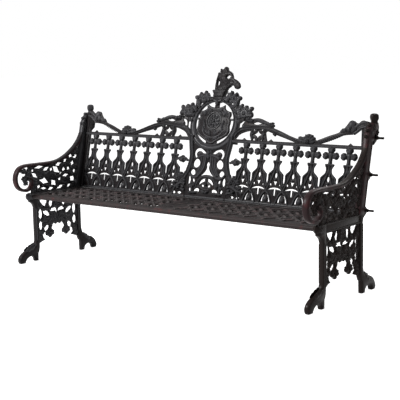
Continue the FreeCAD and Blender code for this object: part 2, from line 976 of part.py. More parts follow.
# Seat
def seat_panel():
    start, end = joint_gap / 2, inner_face - seat_end_gap
    border = outline(plan, (start, seat_front), (end, seat_front), (end, seat_rear), (start, seat_rear))
    front = seat_front + roll_radius
    a = (end - start - 2 * seat_rim) / lattice_columns / 2
    b = (seat_rear - rear_rim_thick - front) / lattice_rows / 2
    slope = math.hypot(a, b) * lattice_bar / 2
    half_x, half_y = a - slope / b, b - slope / a
    holes = []
    for i in range(1, 2 * lattice_columns):
        for j in range(1, 2 * lattice_rows):
            if (i + j) % 2 == 0:
                x, y = start + seat_rim + i * a, front + j * b
                holes.append(outline(plan, (x - half_x, y), (x, y + half_y), (x + half_x, y), (x, y - half_y)))
    plate = slab([border] + holes, along_z, seat_thick, seat_height - seat_thick / 2)
    nosing = outline(
        side,
        (seat_front + 2, seat_height),
        (seat_front, seat_height),
        (seat_front - roll_radius, seat_height - roll_radius, seat_front, seat_height - 2 * roll_radius),
        (seat_front + 2, seat_height - 2 * roll_radius),
    )
    roll = slab([nosing], along_x, end - start, (start + end) / 2)
    low = (start, seat_rear - rear_rim_thick, seat_under - rear_rim_drop)
    rim = block(low, (end, seat_rear, seat_height))
    casting = one_casting(plate, roll, rim)
    cuts = []
    for x in seat_bolt_places():
        for y in (front_bearer, rear_bearer):
            cuts.append(cored_hole(FreeCAD.Vector(x, y, seat_under), along_z, seat_thick))
            sink = FreeCAD.Vector(x, y, seat_height - seat_head_thick)
            cuts.append(prism(sink, along_z, seat_head_thick + 1, seat_head_width + 2 * bolt_clear, 4))
    return casting.cut(cuts)


def seat_bolt_places():
    return (seat_rim / 2, inner_face - seat_bolt_inset)


def seat_bearer(y):
    top = seat_under
    reach = inner_face - 2
    clear = inner_face - ledge_reach - 2
    low = (-reach, y - bearer_flange / 2, top - bearer_thick)
    plate = block(low, (reach, y + bearer_flange / 2, top))
    web_low = (-clear, y - bearer_flange / 2, top - bearer_web)
    web = block(web_low, (clear, y - bearer_flange / 2 + bearer_thick, top))
    casting = one_casting(plate, web)
    cuts = []
    for x in seat_bolt_places():
        for sign in (-1, 1):
            cuts.append(cored_hole(FreeCAD.Vector(sign * x, y, top - bearer_thick), along_z, bearer_thick))
    return casting.cut(cuts)


def seat_bolts(places, length):
    bolts = []
    for x in places:
        for y in (front_bearer, rear_bearer):
            top = FreeCAD.Vector(x, y, seat_height)
            head = prism(top - along_z * seat_head_thick, along_z, seat_head_thick, seat_head_width, 4)
            stem = shank(top - along_z * length, along_z, length - seat_head_thick + 1)
            bolts.append(one_casting(head, stem))
    return Part.makeCompound(bolts)


def seat_nuts(places):
    nuts = []
    for x in places:
        for y in (front_bearer, rear_bearer):
            place = FreeCAD.Vector(x, y, seat_under - bearer_thick - nut_thick)
            nuts.append(nut(place, along_z, 4))
    return Part.makeCompound(nuts)


def nut(start, direction, sides):
    return prism(start, direction, nut_thick, nut_width, sides).cut(tapped_hole(start, direction, nut_thick))


# Fasteners of the back
def back_studs():
    length = flange_thick + frame_thick + stud_reach
    start = along_x * (inner_face - flange_thick)
    studs = [shank(axis + start, along_x, length) for axis in back_bolt_axes()]
    return Part.makeCompound([leaned(stud) for stud in studs])


def stud_nuts():
    start = along_x * (inner_face + frame_thick)
    return Part.makeCompound([leaned(nut(axis + start, along_x, 6)) for axis in back_bolt_axes()])


def back_bolts():
    bolts = []
    face = along_x * (inner_face + frame_thick)
    length = flange_thick + frame_thick
    for axis in back_bolt_axes():
        head = prism(axis + face, along_x, head_thick, head_width, 6)
        stem = shank(axis + face - along_x * length, along_x, length + 1)
        bolts.append(mirrored(leaned(one_casting(head, stem))))
    return Part.makeCompound(bolts)


def joint_bolts():
    bolts = []
    face = along_x * (wing_start + ear_thick)
    length = 2 * ear_thick + joint_gap
    for level in joint_levels:
        spot = behind(joint_set, level) + face
        head = prism(spot, along_x, head_thick, head_width, 6)
        stem = shank(spot - along_x * length, along_x, length + 1)
        bolts.append(leaned(one_casting(head, stem)))
    return Part.makeCompound(bolts)


def bench():
    right_frame = end_frame()
    right_frame.translate(along_x * (frame_spacing / 2))
    right_wing = back_wing()
    right_seat = seat_panel()
    right_joint = joint_bolts()
    end_bolt = inner_face - seat_bolt_inset
    middle_bolt = seat_rim / 2
    through_ledge = seat_thick + bearer_thick + ledge_thick
    through_bearer = seat_thick + bearer_thick + nut_thick + 3
    right_bolts = seat_bolts([end_bolt], through_ledge)
    return {
        "end_frame_right": right_frame,
        "end_frame_left": mirrored(right_frame),
        "back_wing_right": right_wing,
        "back_wing_left": mirrored(right_wing),
        "back_centre": back_centre(),
        "shield": shield(),
        "shield_screws": shield_screws(),
        "crest_head": crest_head(),
        "crest_pin": crest_pin(),
        "seat_panel_right": right_seat,
        "seat_panel_left": mirrored(right_seat),
        "seat_bearer_front": seat_bearer(front_bearer),
        "seat_bearer_rear": seat_bearer(rear_bearer),
        "seat_bolts_right": right_bolts,
        "seat_bolts_left": mirrored(right_bolts),
        "seat_bolts_middle": seat_bolts([-middle_bolt, middle_bolt], through_bearer),
        "seat_nuts_middle": seat_nuts([-middle_bolt, middle_bolt]),
        "back_studs_right": back_studs(),
        "stud_nuts_right": stud_nuts(),
        "back_bolts_left": back_bolts(),
        "joint_bolts_right": right_joint,
        "joint_bolts_left": mirrored(right_joint),
    }


# The origin lies on the floor, under the middle of the bench's box
os.makedirs("parts", exist_ok=True)
pieces = bench()
box = Part.makeCompound(list(pieces.values())).BoundBox
to_origin = FreeCAD.Vector(-box.Center.x, -box.Center.y, -box.ZMin)
for node, shape in pieces.items():
    shape.translate(to_origin)
    shape.exportStep("parts/" + node + ".step")
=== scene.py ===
import math
import bmesh
import bpy
import numpy as np
from mathutils import Matrix, Vector


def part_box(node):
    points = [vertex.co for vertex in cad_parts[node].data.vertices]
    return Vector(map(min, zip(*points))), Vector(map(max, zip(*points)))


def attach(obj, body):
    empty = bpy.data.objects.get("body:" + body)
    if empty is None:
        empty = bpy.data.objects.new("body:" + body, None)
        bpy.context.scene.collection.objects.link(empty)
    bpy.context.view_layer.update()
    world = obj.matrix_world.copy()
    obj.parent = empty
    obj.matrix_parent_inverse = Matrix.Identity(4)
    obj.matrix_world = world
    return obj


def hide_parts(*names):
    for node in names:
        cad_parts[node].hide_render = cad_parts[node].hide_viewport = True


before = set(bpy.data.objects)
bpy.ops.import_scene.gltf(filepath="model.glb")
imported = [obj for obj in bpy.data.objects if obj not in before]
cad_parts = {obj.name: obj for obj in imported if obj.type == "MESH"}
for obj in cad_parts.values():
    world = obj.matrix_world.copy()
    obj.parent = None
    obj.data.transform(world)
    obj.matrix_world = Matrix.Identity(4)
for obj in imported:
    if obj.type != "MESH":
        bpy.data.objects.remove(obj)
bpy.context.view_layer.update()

mm = 0.001

# the drawing's zero: middle of the bench, on the floor, near the front toes
bench = {"lean": 12.5, "crownLean": 17.5, "backFoot": 445, "rail": 771, "seatLip": 114, "frameMid": 1050}
leftBox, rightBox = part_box("end_frame_left"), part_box("end_frame_right")
benchMid = (leftBox[0].x + rightBox[1].x) / 2
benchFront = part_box("seat_panel_right")[0].y - bench["seatLip"] * mm
lean = math.radians(bench["lean"])


def drawingPlane(axes, shift=(0, 0, 0)):  # from millimetres of a drawing to the frame
    place = Vector((benchMid, benchFront, 0)) + Vector(shift) * mm
    return Matrix.Translation(place) @ Matrix.Scale(mm, 4) @ Matrix(axes).to_4x4()


def backPlane(sign=1, tilt=bench["lean"]):  # u along, v up, w to the sitter; tips about the rail
    turn, rail = math.radians(tilt), bench["rail"]
    rise, fall = math.cos(turn) / math.cos(lean), math.sin(turn) / math.cos(lean)
    shift = (0, bench["backFoot"] + rail * (math.tan(lean) - fall), rail * (1 - rise))
    return drawingPlane(((sign, 0, 0), (0, fall, -math.cos(turn)), (0, rise, math.sin(turn))), shift)


def sidePlane(sign):  # u towards the back, v up, w outwards
    return drawingPlane(((0, 0, sign), (1, 0, 0), (0, 1, 0)), (sign * bench["frameMid"], 0, 0))


def seatPlane(sign):  # u along the bench, v towards the back, w up
    return drawingPlane(((sign, 0, 0), (0, 1, 0), (0, 0, 1)))


crownPlane = backPlane(1, bench["crownLean"])  # ring, shield and crest lean further than the wings


def hexColour(code):  # sRGB hex to linear
    parts = [int(code[i:i + 2], 16) / 255 for i in (0, 2, 4)]
    return [c / 12.92 if c <= 0.04045 else ((c + 0.055) / 1.055) ** 2.4 for c in parts] + [1]


def addNode(tree, kind, settings, links=()):  # links are (socket, source) pairs
    node = tree.nodes.new(kind)
    for key, value in settings.items():
        if hasattr(node, str(key)):
            setattr(node, key, value)
        else:
            node.inputs[key].default_value = value
    for key, source in links:
        tree.links.new(source, node.inputs[key])
    return node


def perMetre(sizeMm):  # noise scale that gives blotches of this size
    return 1 / (sizeMm * mm)


# Materials
def paintedCasting(name, look):
    material = bpy.data.materials.new(name)
    material.use_nodes = True
    tree = material.node_tree
    shader = tree.nodes["Principled BSDF"]
    shader.inputs["IOR"].default_value = look["ior"]
    shader.inputs["Specular IOR Level"].default_value = look["shine"]
    place = addNode(tree, "ShaderNodeTexCoord", {}).outputs["Object"]
    noise = {}
    for key, detail in (("blotchMm", 4), ("rubMm", 6), ("sandMm", 3)):
        settings = {"Scale": perMetre(look[key]), "Detail": detail}
        noise[key] = addNode(tree, "ShaderNodeTexNoise", settings, [("Vector", place)]).outputs["Fac"]
    bounds = {"From Min": look["rubFrom"], "From Max": look["rubFrom"] + look["rubSoft"]}
    rubbed = addNode(tree, "ShaderNodeMapRange", bounds, [("Value", noise["rubMm"])])
    # sockets 6 and 7 of the mix node are its two colours, output 2 their mix
    tones = {"data_type": "RGBA", 6: hexColour(look["paint"]), 7: hexColour(look["faded"])}
    paint = addNode(tree, "ShaderNodeMix", tones, [(0, noise["blotchMm"])])
    under = {"data_type": "RGBA", 7: hexColour(look["under"])}
    colour = addNode(tree, "ShaderNodeMix", under, [(0, rubbed.outputs["Result"]), (6, paint.outputs[2])])
    tree.links.new(colour.outputs[2], shader.inputs["Base Color"])
    spread = {"To Min": look["roughness"] - look["glossier"], "To Max": look["roughness"] + look["duller"]}
    rough = addNode(tree, "ShaderNodeMapRange", spread, [("Value", noise["blotchMm"])])
    tree.links.new(rough.outputs["Result"], shader.inputs["Roughness"])
    grain = {"Strength": look["bump"], "Distance": look["sandMm"] * mm * look["pitShare"]}
    bump = addNode(tree, "ShaderNodeBump", grain, [("Height", noise["sandMm"])])
    tree.links.new(bump.outputs["Normal"], shader.inputs["Normal"])
    return material


# Oil paint brushed over sand-cast iron: near black, half gloss, with the sand's pitting under it,
# whose grain is drawn coarser than the real one, to show
blackPaint = {
    "paint": "1d1b1c", "faded": "2a2728", "under": "312725", "ior": 1.42, "shine": 0.08, "roughness": 0.3,
    "glossier": 0.08, "duller": 0.12, "blotchMm": 70, "rubMm": 45, "rubFrom": 0.62, "rubSoft": 0.12,
    "sandMm": 5, "pitShare": 0.25, "bump": 0.4,
}
# The same paint on raised ornament, greyer and glossier than the ground: partly thinned by weather, partly a
# painted highlight on the relief against painted shade in the recesses
raisedWearAndSheenPaint = dict(blackPaint, paint="333334", faded="444346", under="443f40", roughness=0.26, shine=0.12)
# The same on the right end, darker and browner: painted shade over that whole end, the side away from the key
# lamp
shadedEndPaint = dict(raisedWearAndSheenPaint, paint="1d1817", faded="2b2422", under="362823", shine=0.08)
# The same paint where hands and sleeves rub it: red oxide primer comes through
rubbedPaint = dict(blackPaint, paint="2a2122", faded="372829", under="43292b", roughness=0.28, rubFrom=0.55)
# The same paint on the seat, dulled by wear; its ridges lighter, partly polished by use and partly a painted
# highlight
seatPaint = dict(
    blackPaint, paint="222020", faded="2f2b2b", under="3a3333", roughness=0.42, rubFrom=0.52, blotchMm=50,
)
seatRidgeWearAndSheenPaint = dict(seatPaint, paint="3d3a3a", faded="504a4a", under="574b4b", roughness=0.36, shine=0.14)
# The seat's front roll, where legs rub it: brown, with a little primer
edgePaint = dict(seatPaint, paint="2d2828", faded="3a3333", under="472f2f", rubFrom=0.56)
# Mild steel rod and nuts, painted over: dull, near black, browner where rust comes through
steelPaint = dict(
    blackPaint, paint="0e0d0d", faded="1a1716", under="2a201b", roughness=0.5, rubFrom=0.5,
    blotchMm=15, rubMm=8, sandMm=2,
)

ironBlack = paintedCasting("oilPaintOnCastIron", blackPaint)
ironRubbed = paintedCasting("rubbedPaintOnCastIron", rubbedPaint)
ironRaisedWearAndSheen = paintedCasting("weatheredPaintAndPaintedSheenOnCastIron", raisedWearAndSheenPaint)
ironShadedEnd = paintedCasting("paintedShadeOnCastIron", shadedEndPaint)
ironSeat = paintedCasting("wornPaintOnCastIron", seatPaint)
ironEdge = paintedCasting("scuffedPaintOnCastIron", edgePaint)
ironSeatRidgeWearAndSheen = paintedCasting("polishedWornPaintAndPaintedSheenOnCastIron", seatRidgeWearAndSheenPaint)
steelRusty = paintedCasting("paintedMildSteel", steelPaint)
# ground, rubbed, and the lighter raised paint, which is partly a painted highlight
castingPaints = [ironBlack, ironRubbed, ironRaisedWearAndSheen]
print("materials made")


# Mesh pieces: points and faces in millimetres on one of the planes; finish 0 ground, 1 rubbed, 2 raised, whose
# lighter paint is partly a painted highlight
def newPiece():
    return {"points": [], "faces": [], "finish": []}


def addFaces(piece, points, faces, finish=0):
    start = len(piece["points"])
    piece["points"] += [tuple(p) for p in points]
    piece["faces"] += [tuple(start + i for i in face) for face in faces]
    piece["finish"] += [finish] * len(faces)


def addCurve(piece, curve, depth, squash, finish):  # the mesh that Blender makes of a curve
    holder = bpy.data.objects.new("holder", curve)
    mesh = bpy.data.meshes.new_from_object(holder)
    points = [(v.co.x, v.co.y, v.co.z * squash + depth) for v in mesh.vertices]
    addFaces(piece, points, [tuple(f.vertices) for f in mesh.polygons], finish)
    bpy.data.objects.remove(holder)
    bpy.data.meshes.remove(mesh)
    bpy.data.curves.remove(curve)


def addSpline(curve, points, closed):  # a third value of 1 marks a sharp corner
    spline = curve.splines.new("BEZIER")
    spline.bezier_points.add(len(points) - 1)
    spline.use_cyclic_u = closed
    for knot, point in zip(spline.bezier_points, points):
        knot.co = (point[0], point[1], 0)
    for knot, point in zip(spline.bezier_points, points):
        knot.handle_left_type = knot.handle_right_type = "VECTOR" if len(point) == 3 else "AUTO"
    return spline


def plate(piece, outlines, thick, edge, depth=0.0, steps=4, finish=0):  # openwork slab with softened edges
    curve = bpy.data.curves.new("plate", "CURVE")
    curve.dimensions = "2D"
    curve.fill_mode = "BOTH"
    curve.resolution_u = steps
    curve.extrude = thick / 2 - edge
    curve.bevel_depth = edge
    curve.bevel_resolution = 1
    curve.offset = -edge
    for points in outlines:
        addSpline(curve, points, True)
    addCurve(piece, curve, depth, 1.0, finish)


# round bar along a line, thinner at its ends if asked
def bar(piece, points, radius, depth, squash=1.0, ends=(1, 1), closed=False, steps=4, finish=2):
    curve = bpy.data.curves.new("bar", "CURVE")
    curve.dimensions = "3D"
    curve.fill_mode = "FULL"
    curve.resolution_u = steps
    curve.bevel_depth = radius
    curve.bevel_resolution = 1
    curve.use_fill_caps = True
    spline = addSpline(curve, points, closed)
    last = max(len(points) - 1, 1)
    for i, knot in enumerate(spline.bezier_points):
        knot.radius = ends[0] + (ends[1] - ends[0]) * i / last
    addCurve(piece, curve, depth, squash, finish)


def through(points, perSpan):  # points along a smooth line through the given ones
    ends = [points[0]] + list(points) + [points[-1]]
    line = []
    for i in range(1, len(ends) - 2):
        a, b, c, d = (np.array(ends[i + k], float) for k in (-1, 0, 1, 2))
        for k in range(perSpan):
            t = k / perSpan
            bow = (2 * a - 5 * b + 4 * c - d) * t ** 2 + (3 * b - a - 3 * c + d) * t ** 3
            line.append(0.5 * (2 * b + (c - a) * t + bow))
    return line + [np.array(points[-1], float)]


def skin(rows, size, closed=False):  # faces between rows of points, each row a ring of this size
    faces = []
    for i in range(rows if closed else rows - 1):
        a, b = i * size, (i + 1) % rows * size
        faces += [(a + k, a + (k + 1) % size, b + (k + 1) % size, b + k) for k in range(size)]
    if not closed:
        faces += [tuple(range(size)), tuple(reversed(range((rows - 1) * size, rows * size)))]
    return faces


def moulding(piece, line, section, finish=2, taper=None):  # a section of (across, depth) run along a line
    last = len(line) - 1
    points = []
    for i, place in enumerate(line):
        along = np.array(line[min(i + 1, last)]) - np.array(line[max(i - 1, 0)])
        across = np.array((-along[1], along[0])) / np.linalg.norm(along)
        swell = taper(i / last) if taper else 1
        for a, w in section:
            spot = np.array(place) + across * a * swell
            points.append((spot[0], spot[1], w))
    addFaces(piece, points, skin(len(line), len(section)), finish)


def softSection(halfAcross, low, high, corner):  # rectangle with rounded corners
    section = []
    for cx, cy, turn in ((1, 1, 0), (-1, 1, 90), (-1, -1, 180), (1, -1, 270)):
        middle = ((halfAcross - corner) * cx, (high - corner) if cy > 0 else (low + corner))
        for step in (0, 45, 90):
            a = math.radians(turn + step)
            section.append((middle[0] + corner * math.cos(a), middle[1] + corner * math.sin(a)))
    return section


def ribbedSection(half, low, high):  # flat band with a rib along each edge and a groove between
    steps = ((1, 0.4), (0.9, 0.85), (0.68, 1), (0.46, 0.85), (0.3, 0.45), (0, 0.35))
    front = [(half * a, high * h) for a, h in steps] + [(-half * a, high * h) for a, h in steps[-2::-1]]
    return front + [(-half, low), (half, low)]


leafForm = {
    "waist": 0.6, "lobe": 0.4, "round": 0.7, "fall": 0.55, "vein": 0.16, "rib": 0.3, "ribShare": 3,
    "sweep": 0.2,
}


# lobed leaf with a midrib; cells are its rows per lobe and its columns
def leaf(piece, root, angle, length, width, depth, rise, lobes, bend=0.0, side=1, cells=(5, 6)):
    form, rows, cols = leafForm, lobes * cells[0], cells[1]
    heading, spot = math.radians(angle), np.array(root, float)
    points = []
    for i in range(rows + 1):
        t = i / rows
        turn = heading + math.radians(bend) * t
        ahead = np.array((math.cos(turn), math.sin(turn)))
        if i:
            spot = spot + ahead * length / rows
        swell = math.sqrt(max(0, 1 - (2 * t - 1) ** 2))
        lobe = abs(math.cos(math.pi * lobes * t)) ** form["round"]
        half = width / 2 * swell * (form["waist"] + form["lobe"] * lobe)
        for k in range(cols + 1):
            s = 2 * k / cols - 1
            hump = math.sin(math.pi * (0.1 + 0.8 * t)) ** 0.5 * (1 - form["fall"] * s * s)
            vein = form["vein"] * math.cos(2 * math.pi * (lobes * t - 0.5 * abs(s)))
            ridge = form["rib"] * max(0, 1 - abs(s) * form["ribShare"])
            across = spot + np.array((-ahead[1], ahead[0])) * half * s + ahead * half * form["sweep"] * abs(s)
            points.append((across[0], across[1], depth + side * rise * (hump * (1 + vein) + ridge * (1 - t))))
    under, wide = len(points), cols + 1
    faces = []
    for i in range(rows):
        for k in range(cols):
            a = i * wide + k
            faces.append((a, a + 1, a + wide + 1, a + wide))
    rim = [i * wide + cols for i in range(rows + 1)] + [i * wide for i in range(rows - 1, 0, -1)]
    points += [(points[i][0], points[i][1], depth - side) for i in rim]
    for k, start in enumerate(rim):
        following = (k + 1) % len(rim)
        faces.append((start, rim[following], under + following, under + k))
    faces.append(tuple(range(under, len(points))))
    addFaces(piece, points, faces, 2)


def domeFaces(rows, around):  # faces from a middle point out through rows of points
    faces = [(0, 1 + k, 1 + (k + 1) % around) for k in range(around)]
    for i in range(rows - 1):
        for k in range(around):
            a, b = 1 + i * around + k, 1 + i * around + (k + 1) % around
            faces.append((a, a + around, b + around, b))
    return faces


ivyForm = {
    "rings": 6, "perLobe": 8, "round": 0.7, "cut": 0.4, "fall": 0.8, "dip": 0.35, "rib": 0.2,
    "base": 0.85, "tip": 0.2,
}


def ivy(piece, centre, radius, angle, depth, rise, side, lobes=5):  # broad leaf, lobes round its middle
    form, rings, around = ivyForm, ivyForm["rings"], lobes * ivyForm["perLobe"]
    points = [(centre[0], centre[1], depth + side * rise)]
    for i in range(1, rings + 2):
        q = min(i / rings, 1)
        for k in range(around):
            a = 2 * math.pi * k / around
            lobe = abs(math.cos(lobes * a / 2)) ** form["round"]
            r = radius * q * (1 - form["cut"] * q * (1 - lobe)) * (form["base"] + form["tip"] * math.cos(a))
            rib = form["rib"] * lobe ** 6 * math.sin(math.pi * q)
            lift = math.sqrt(1 - form["fall"] * q * q) * (1 - form["dip"] * q * (1 - lobe)) + rib
            turn = a + math.radians(angle)
            level = depth + side * rise * lift if i <= rings else depth - side
            points.append((centre[0] + r * math.cos(turn), centre[1] + r * math.sin(turn), level))
    back = tuple(range(1 + rings * around, 1 + (rings + 1) * around))
    addFaces(piece, points, domeFaces(rings + 1, around) + [back], 2)


bossForm = {"rings": 5, "around": 12, "perPetal": 6, "dimple": 0.82, "swell": 0.25, "brim": 0.3, "height": 0.9}


def boss(piece, centre, radius, depth, rise, petals=0, cut=0.2, both=True, turn=0.0):  # round or petalled knob
    form, rings, around = bossForm, bossForm["rings"], max(bossForm["around"], petals * bossForm["perPetal"])
    for side in (1, -1) if both else (1,):
        points = [(centre[0], centre[1], depth + side * rise * (form["dimple"] if petals else 1))]
        for i in range(1, rings + 1):
            q = i / rings
            for k in range(around):
                a = 2 * math.pi * k / around
                lobe = math.cos(petals * (a - math.radians(turn))) if petals else 0
                r = radius * q * (1 + cut * lobe * q)
                lift = math.sqrt(max(0, 1 - q * q)) * (1 + form["swell"] * lobe * q)
                if petals:
                    lift += form["brim"] * math.sin(math.pi * q)
                u, v = centre[0] + r * math.cos(a), centre[1] + r * math.sin(a)
                points.append((u, v, depth + side * rise * lift * form["height"]))
        addFaces(piece, points, domeFaces(rings, around), 2)


ropeForm = {"around": 8, "perTurn": 16, "strand": 0.52}


def rope(piece, start, stop, radius, sag, depth, turns):  # two strands wound along a slightly hanging line
    a, b = np.array(start, float), np.array(stop, float)
    along = (b - a) / np.linalg.norm(b - a)
    across = np.array((-along[1], along[0]))
    around, steps, thick = ropeForm["around"], turns * ropeForm["perTurn"], radius * ropeForm["strand"]
    for strand in (0, 1):
        points = []
        for i in range(steps + 1):
            t = i / steps
            phase = 2 * math.pi * (turns * t + strand / 2)
            spot = a + (b - a) * t - np.array((0, sag * 4 * t * (1 - t)))
            middle = (radius - thick) * math.cos(phase), (radius - thick) * math.sin(phase)
            for k in range(around):
                q = 2 * math.pi * k / around
                u = spot + across * (middle[0] + thick * math.cos(q))
                points.append((u[0], u[1], depth + middle[1] + thick * math.sin(q)))
        addFaces(piece, points, skin(steps + 1, around), 2)


# profile of (radius, height) turned about v, or about w
def lathe(piece, profile, place, around, ribs=0, upright=True, finish=2):
    points, ripple = [], 0.08
    for r, h in profile:
        for k in range(around):
            a = 2 * math.pi * k / around
            q = r * (1 + (ripple * math.cos(ribs * a) if ribs else 0))
            x, y = q * math.cos(a), q * math.sin(a)
            step = (x, h, y) if upright else (x, y, h)
            points.append(tuple(place[i] + step[i] for i in range(3)))
    addFaces(piece, points, skin(len(profile), around), finish)


def block(piece, low, high):  # plain lug or ear of a casting
    corners = [[(low if i & bit else high)[k] for k, bit in enumerate((1, 2, 4))] for i in range(8)]
    faces = [(0, 1, 3, 2), (4, 6, 7, 5), (0, 4, 5, 1), (2, 3, 7, 6), (0, 2, 6, 4), (1, 5, 7, 3)]
    addFaces(piece, corners, faces)


def pointed(centre, length, width, tilt):  # leaf-shaped opening
    c, s = math.cos(math.radians(tilt)), math.sin(math.radians(tilt))
    spots = [(-0.5, 0, 1), (-0.2, 0.46), (0.2, 0.46), (0.5, 0, 1), (0.2, -0.46), (-0.2, -0.46)]
    turned = [(c * a * length - s * b * width, s * a * length + c * b * width, *rest) for a, b, *rest in spots]
    return [(centre[0] + a, centre[1] + b, *rest) for a, b, *rest in turned]


def flip(points, sign, middle=0):  # mirrored where sign is -1
    return [(middle + sign * (u - middle), *rest) for u, *rest in points]


def moved(points, along, up=0):
    return [(along + u, up + v, *rest) for u, v, *rest in points]


def rectangle(low, high):
    return [(low[0], low[1], 1), (high[0], low[1], 1), (high[0], high[1], 1), (low[0], high[1], 1)]


def circle(middle, radius, count):
    turns = [2 * math.pi * k / count for k in range(count)]
    return [(middle[0] + radius * math.cos(a), middle[1] + radius * math.sin(a)) for a in turns]


def facing(angle, sign):  # an angle, mirrored likewise
    return angle if sign > 0 else 180 - angle


def spray(piece, leaves, width, depth, rise, bend, signs=(1,), sides=(-1, 1)):  # (u, v, angle, length) each
    for sign in signs:
        for side in sides:
            for u, v, angle, length in leaves:
                way = facing(angle, sign)
                leaf(piece, (sign * u, v), way, length, width, side * depth, rise, 3, sign * bend, side)


def bunch(piece, leaves, depth, rise, sides=(-1, 1)):  # broad leaves of (u, v, radius, angle)
    for side in sides:
        for u, v, radius, angle in leaves:
            ivy(piece, (u, v), radius, angle, side * depth, rise, side)


def edgesOf(outlines):  # where the straight runs of all outlines start and stop
    starts = np.array([point[:2] for shape in outlines for point in shape], float)
    stops = np.array([point[:2] for shape in outlines for point in shape[1:] + shape[:1]], float)
    return starts, stops


def nearestEdge(spot, edges):  # distance to the nearest outline, and the way along it
    starts, stops = edges
    along = stops - starts
    share = np.clip(((spot - starts) * along).sum(1) / (along ** 2).sum(1), 0, 1)
    gaps = np.linalg.norm(starts + along * share[:, None] - spot, axis=1)
    best = int(gaps.argmin())
    return gaps[best], math.degrees(math.atan2(along[best][1], along[best][0]))


def within(spot, edges):  # inside the border and outside every opening
    (a, b), (c, d) = edges[0].T, edges[1].T
    crossing = (b > spot[1]) != (d > spot[1])
    reach = a + (spot[1] - b) / np.where(d == b, 1, d - b) * (c - a)
    return np.count_nonzero(crossing & (reach > spot[0])) % 2 == 1


# a leaf's size follows the distance to the nearest edge; back, long and wide are shares of it,
# and full is the size in millimetres that has the whole rise
smallLeaf = {
    "jitter": 0.35, "clear": 4.5, "fill": 1.3, "turns": (-25, 25, 155, 205),
    "back": 1.1, "long": 2.3, "wide": 1.5, "full": 12, "cells": (4, 4),
}


# small leaves all over an openwork plate, clear of its openings
def foliage(piece, outlines, spacing, depth, rise, sides, seed, largest=15):
    form = smallLeaf
    draw = np.random.default_rng(seed)
    edges = edgesOf(outlines)
    low, high = edges[0].min(0), edges[0].max(0)
    for u in np.arange(low[0], high[0], spacing):
        for v in np.arange(low[1], high[1], spacing):
            spot = np.array((u, v)) + draw.uniform(-form["jitter"], form["jitter"], 2) * spacing
            turn = draw.choice(form["turns"])
            gap, way = nearestEdge(spot, edges)
            if gap < form["clear"] or not within(spot, edges):
                continue
            size, angle = min(gap * form["fill"], largest), math.radians(way + turn)
            root = spot - np.array((math.cos(angle), math.sin(angle))) * size * form["back"]
            length, width, lift = size * form["long"], size * form["wide"], rise * size / form["full"]
            for side in sides:
                leaf(piece, root, way + turn, length, width, side * depth, lift, 2, 0, side, form["cells"])


meshing = {"weldMm": 0.02, "sharpFrom": 50}


def makeObject(parts, name, materials, slot, *nodes):  # parts: (piece, plane) pairs
    mesh = bpy.data.meshes.new(name)
    points, faces, finishes = [], [], []
    for piece, plane in parts:
        start = len(points)
        points += [plane @ Vector(p) for p in piece["points"]]
        faces += [tuple(start + i for i in face) for face in piece["faces"]]
        finishes += piece["finish"]
    mesh.from_pydata(points, [], faces)
    work = bmesh.new()
    work.from_mesh(mesh)
    for face, finish in zip(work.faces, finishes):
        face.material_index = finish
        face.smooth = True
    bmesh.ops.remove_doubles(work, verts=work.verts, dist=meshing["weldMm"] * mm)
    bmesh.ops.recalc_face_normals(work, faces=work.faces)
    work.to_mesh(mesh)
    work.free()
    mesh.set_sharp_from_angle(angle=math.radians(meshing["sharpFrom"]))
    made = bpy.data.objects.new(name, mesh)
    bpy.context.scene.collection.objects.link(made)
    for material in materials:
        mesh.materials.append(material)
    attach(made, "root")
    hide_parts(*nodes)
    print(name, len(mesh.polygons), "faces")


# Back wings
wing = {
    "start": 154.4, "end": 1029, "first": 262, "pitch": 113.1, "count": 7, "head": 716, "post": 1010,
    "railUnder": 757, "railMid": 764, "railTop": 771, "foot": 422, "footMid": 429, "thick": 10, "grille": 8,
    "edge": 2.2, "swag": 905, "earLevels": (438, 764), "earThick": 12, "earHalf": 15,
}
axes = [wing["first"] + i * wing["pitch"] for i in range(wing["count"])]


def balusterSide(x, sign):  # one edge of a baluster, from the rail down to the slot beside it
    head = [(24, 33), (22, 26), (15, 18, 1), (23, 17), (34, 21)]
    ball = [(46, 14), (51, 0), (46, -14), (34, -21), (23, -16), (12, -15, 1)]
    capital = [(11, -28), (13, -42, 1), (29, -44, 1), (27, -52), (17, -68), (16, -82)]
    elbow = [(22, -98), (36, -110), (48, -118, 1), (49, -138), (50, -158)]
    edge = [(21, wing["railUnder"], 1)] + moved(head + ball + capital + elbow, 0, wing["head"])
    return moved(flip(edge, sign), x)


def balusterHoles(x):  # eye, cusp, bow with a slit below it, and two specks
    n = wing["head"]
    eye = pointed((x, n - 126), 32, 13, 90)
    cusp = moved([(-12, -155, 1), (0, -160), (12, -155, 1), (0, -182, 1)], x, n)
    right = moved([(46, -205, 1), (24, -196), (0, -193)], x, n)
    slit = moved([(5, -200, 1), (4, -236, 1)], x, n)
    bowAndSlit = flip(right, -1, x) + right[1::-1] + slit + flip(slit, -1, x)[::-1]
    specks = [pointed((x + sign * 31, n - 176), 15, 8, sign * 60) for sign in (-1, 1)]
    return [eye, cusp, bowAndSlit] + specks


def ballHoles(x):  # slits that part the ball at a bay's foot from the straps
    steps = [(5, 486, 1), (14, 473), (20, 457), (20, 444, 1), (30, 444, 1), (26, 459), (18, 475)]
    return [moved(flip(steps, sign), x) for sign in (-1, 1)]


